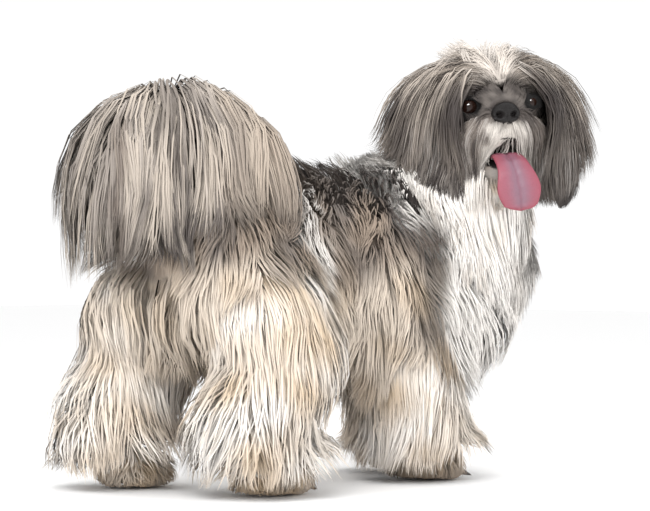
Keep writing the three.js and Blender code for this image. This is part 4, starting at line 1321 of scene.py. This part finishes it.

# The skin takes the coat's markings, a little darker as painted shade under the coat
COLOURS = {
    "torso": torso_colour, "neck": neck_colour, "tail": tail_colour, "leg": leg_colour, "paw": paw_colour,
    "skull": face_colour, "lid": face_colour, "fold": fold_colour, "muzzle": moustache_colour,
    "jaw": beard_colour, "ear": ear_colour,
}
SHADE_UNDER_COAT = 0.95
spots = np.empty(len(skin.data.vertices) * 3, np.float32)
skin.data.vertices.foreach_get("co", spots)
spots = (spots.reshape(-1, 3).astype(float) - SHIFT) / MM
_, _, _, owners = feel(spots)
tint = np.tile(CREAM, (len(spots), 1))
for number, name in enumerate(ORDER):
    mine = owners == number
    if mine.any():
        p = spots[mine]
        half = np.full(len(p), 0.5)
        tint[mine] = COLOURS[name.split("_")[0]](p, in_head(p), half, half)
local = in_head(spots)
# Painted shade: the inside of the mouth near black
inside = (((local - MOUTH[0]) / (np.array(MOUTH[1]) + 1.5)) ** 2).sum(-1) < 1
tint = mix(tint, srgb("#080303"), inside.astype(float))
for y in (-1, 1):
    eye = np.linalg.norm(local - [EYE_AHEAD, y * EYE_SPREAD, EYE_UP], axis=1)
    tint = mix(tint, srgb("#0e0b0a"), 1 - smooth(eye, 14, 18))
paint(skin.data, tint * SHADE_UNDER_COAT)

# Eyes, with a slight bulge in front
CORNEA = 0.9
eyes = bpy.data.collections.new("eyes")
for side, y in (("right", -1), ("left", 1)):
    places, faces = ball((EYE_RADIUS,) * 3, 48, 36)
    places[:, 0] += CORNEA * smooth(places[:, 0] / EYE_RADIUS, 0.78, 1.0)
    places = places + np.array([EYE_AHEAD, y * EYE_SPREAD, EYE_UP])
    piece = new_piece("eyeball_" + side, on_head(places), faces, eye_glass)
    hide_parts("eye_" + side)
    eyes.objects.link(piece)

# Nose: a broad pad with comma nostrils and a groove down the middle
NOSE_PLACE, NOSE_RADII = (54, 0, -8), (7, 12.7, 9.8)
pad, faces = ball(NOSE_RADII, 72, 56)
x, y, z = pad.T.copy()
front = smooth(x, -1, 4)
side = np.abs(y)
nostril = np.exp(-(((side - 6.3) / 2.9) ** 2 + ((z + 1.4 - 0.25 * (side - 6)) / 2.2) ** 2))
slit = np.exp(-(((side - 9.6) / 2.6) ** 2 + ((z + 3.4) / 1.0) ** 2))
groove = np.exp(-((y / 0.8) ** 2)) * smooth(-z, -1, 3)
pad[:, 0] -= front * (6.0 * nostril + 2.0 * slit + 1.2 * groove)
pad[:, 0] += front * 1.1 * np.exp(-(((side - 6.3) / 4.6) ** 2 + ((z - 2.6) / 2.0) ** 2))
nose = new_piece("nose_pad", on_head(pad + np.array(NOSE_PLACE)), faces, nose_leather)
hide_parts("nose")

# Tongue, with a groove along its middle and paler there
AROUND, ALONG = 56, 90
tongue_limb = head_limb(TONGUE)
places, other, t, c, s, drawn = tongue_limb.rings(AROUND, ALONG)
lateral = c[:, 0]
side = np.abs(lateral)
dip = -1.5 * np.exp(-((lateral / 0.16) ** 2)) + 1.1 * lateral**2
ripples = 0.25 * np.sin(t * 60) * (1 - lateral**2)
places = places + other * (dip + ripples)[:, None] * np.where(s > 0, 1.0, 0.6) * drawn
faces = tongue_limb.mesh(AROUND, ALONG)[1]
tongue = new_piece("tongue_flesh", places, faces, tongue_flesh)
tint = mix(srgb("#91505e"), srgb("#82616f"), (1 - smooth(side, 0.1, 0.75)) * smooth(t, 0.2, 0.5))
tint = mix(tint, srgb("#963e4d"), smooth(t, 0.78, 0.97) * 0.8 + 0.5 * smooth(side, 0.75, 1.0))
# Painted shade: darker towards the root, inside the mouth
tint = mix(tint, srgb("#5a2d38"), 0.8 * (1 - smooth(t, 0.12, 0.36)))
# Painted shade: a darker line down the groove on its top
tint = mix(tint, srgb("#7a4858"), 0.5 * np.exp(-((lateral / 0.05) ** 2)) * (s[:, 0] > 0))
paint(tongue.data, tint)
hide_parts("tongue")

# Claws
for name in LEGS:
    for number in range(1, len(TOES) + 1):
        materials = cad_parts[f"claw_{name}_{number}"].data.materials
        materials.clear()
        materials.append(claw_horn)

# Floor, light and camera
FLOOR_HALF = 6.0
WORLD = 1.03
LAMPS = {
    # metres towards the camera, to its right and up from the middle, width, height and power
    "key": (1.9, -0.8, 1.2, 2.8, 2.8, 22.0),
    "fill": (1.8, 1.2, 0.6, 2.8, 2.8, 21.0),
    "softbox": (1.3, -0.3, 1.0, 1.2, 0.45, 12.0),
    "catchlight": (1.3, -0.1, 1.1, 1.3, 0.55, 110.0),
    "rim": (-1.4, 0.0, 1.6, 1.8, 1.8, 9.0),
}
NOT_MIRRORED = ("key", "fill")


def studio():
    mesh = bpy.data.meshes.new("floor")
    corners = [(-1, -1), (1, -1), (1, 1), (-1, 1)]
    mesh.from_pydata([(x * FLOOR_HALF, y * FLOOR_HALF, 0) for x, y in corners], [], [(0, 1, 2, 3)])
    material, _, shader = new_material("floor_paper")
    shader.inputs["Base Color"].default_value = (0.94, 0.94, 0.94, 1)
    shader.inputs["Roughness"].default_value = 0.9
    mesh.materials.append(material)
    floor = bpy.data.objects.new("floor", mesh)
    bpy.context.scene.collection.objects.link(floor)


def light_up(centre, back, right):
    for name, (near, aside, up, width, height, power) in LAMPS.items():
        light = bpy.data.lights.new(name, "AREA")
        light.shape = "RECTANGLE"
        light.size, light.size_y = width, height
        light.energy = power
        lamp = bpy.data.objects.new(name, light)
        lamp.location = centre + back * near + right * aside + Vector((0, 0, up))
        lamp.visible_glossy = name not in NOT_MIRRORED
        lamp.rotation_euler = (centre - lamp.location).to_track_quat("-Z", "Y").to_euler()
        bpy.context.scene.collection.objects.link(lamp)
        if name == "catchlight":
            lamp.light_linking.receiver_collection = eyes
    world = bpy.data.worlds.new("studio")
    world.use_nodes = True
    world.node_tree.nodes["Background"].inputs["Color"].default_value = (1, 1, 1, 1)
    world.node_tree.nodes["Background"].inputs["Strength"].default_value = WORLD
    bpy.context.scene.world = world


def photograph():
    a = math.radians(CAMERA_HEADING)
    ahead = np.array([math.sin(a), math.cos(a), 0.0])
    aside = np.array([math.cos(a), -math.sin(a), 0.0])
    middle = np.array([*LOOK_AT, CAMERA_HEIGHT])
    camera = bpy.data.objects.new("camera", bpy.data.cameras.new("camera"))
    camera.data.lens = LENS
    camera.data.sensor_width = SENSOR
    camera.data.clip_end = 50.0
    camera.location = to_world(middle - ahead * CAMERA_DISTANCE)
    camera.rotation_euler = Vector(ahead).to_track_quat("-Z", "Y").to_euler()
    bpy.context.scene.collection.objects.link(camera)
    bpy.context.scene.camera = camera
    light_up(Vector(to_world(middle)), Vector(-ahead), Vector(aside))
    bpy.context.scene.view_settings.view_transform = "Standard"


studio()
photograph()
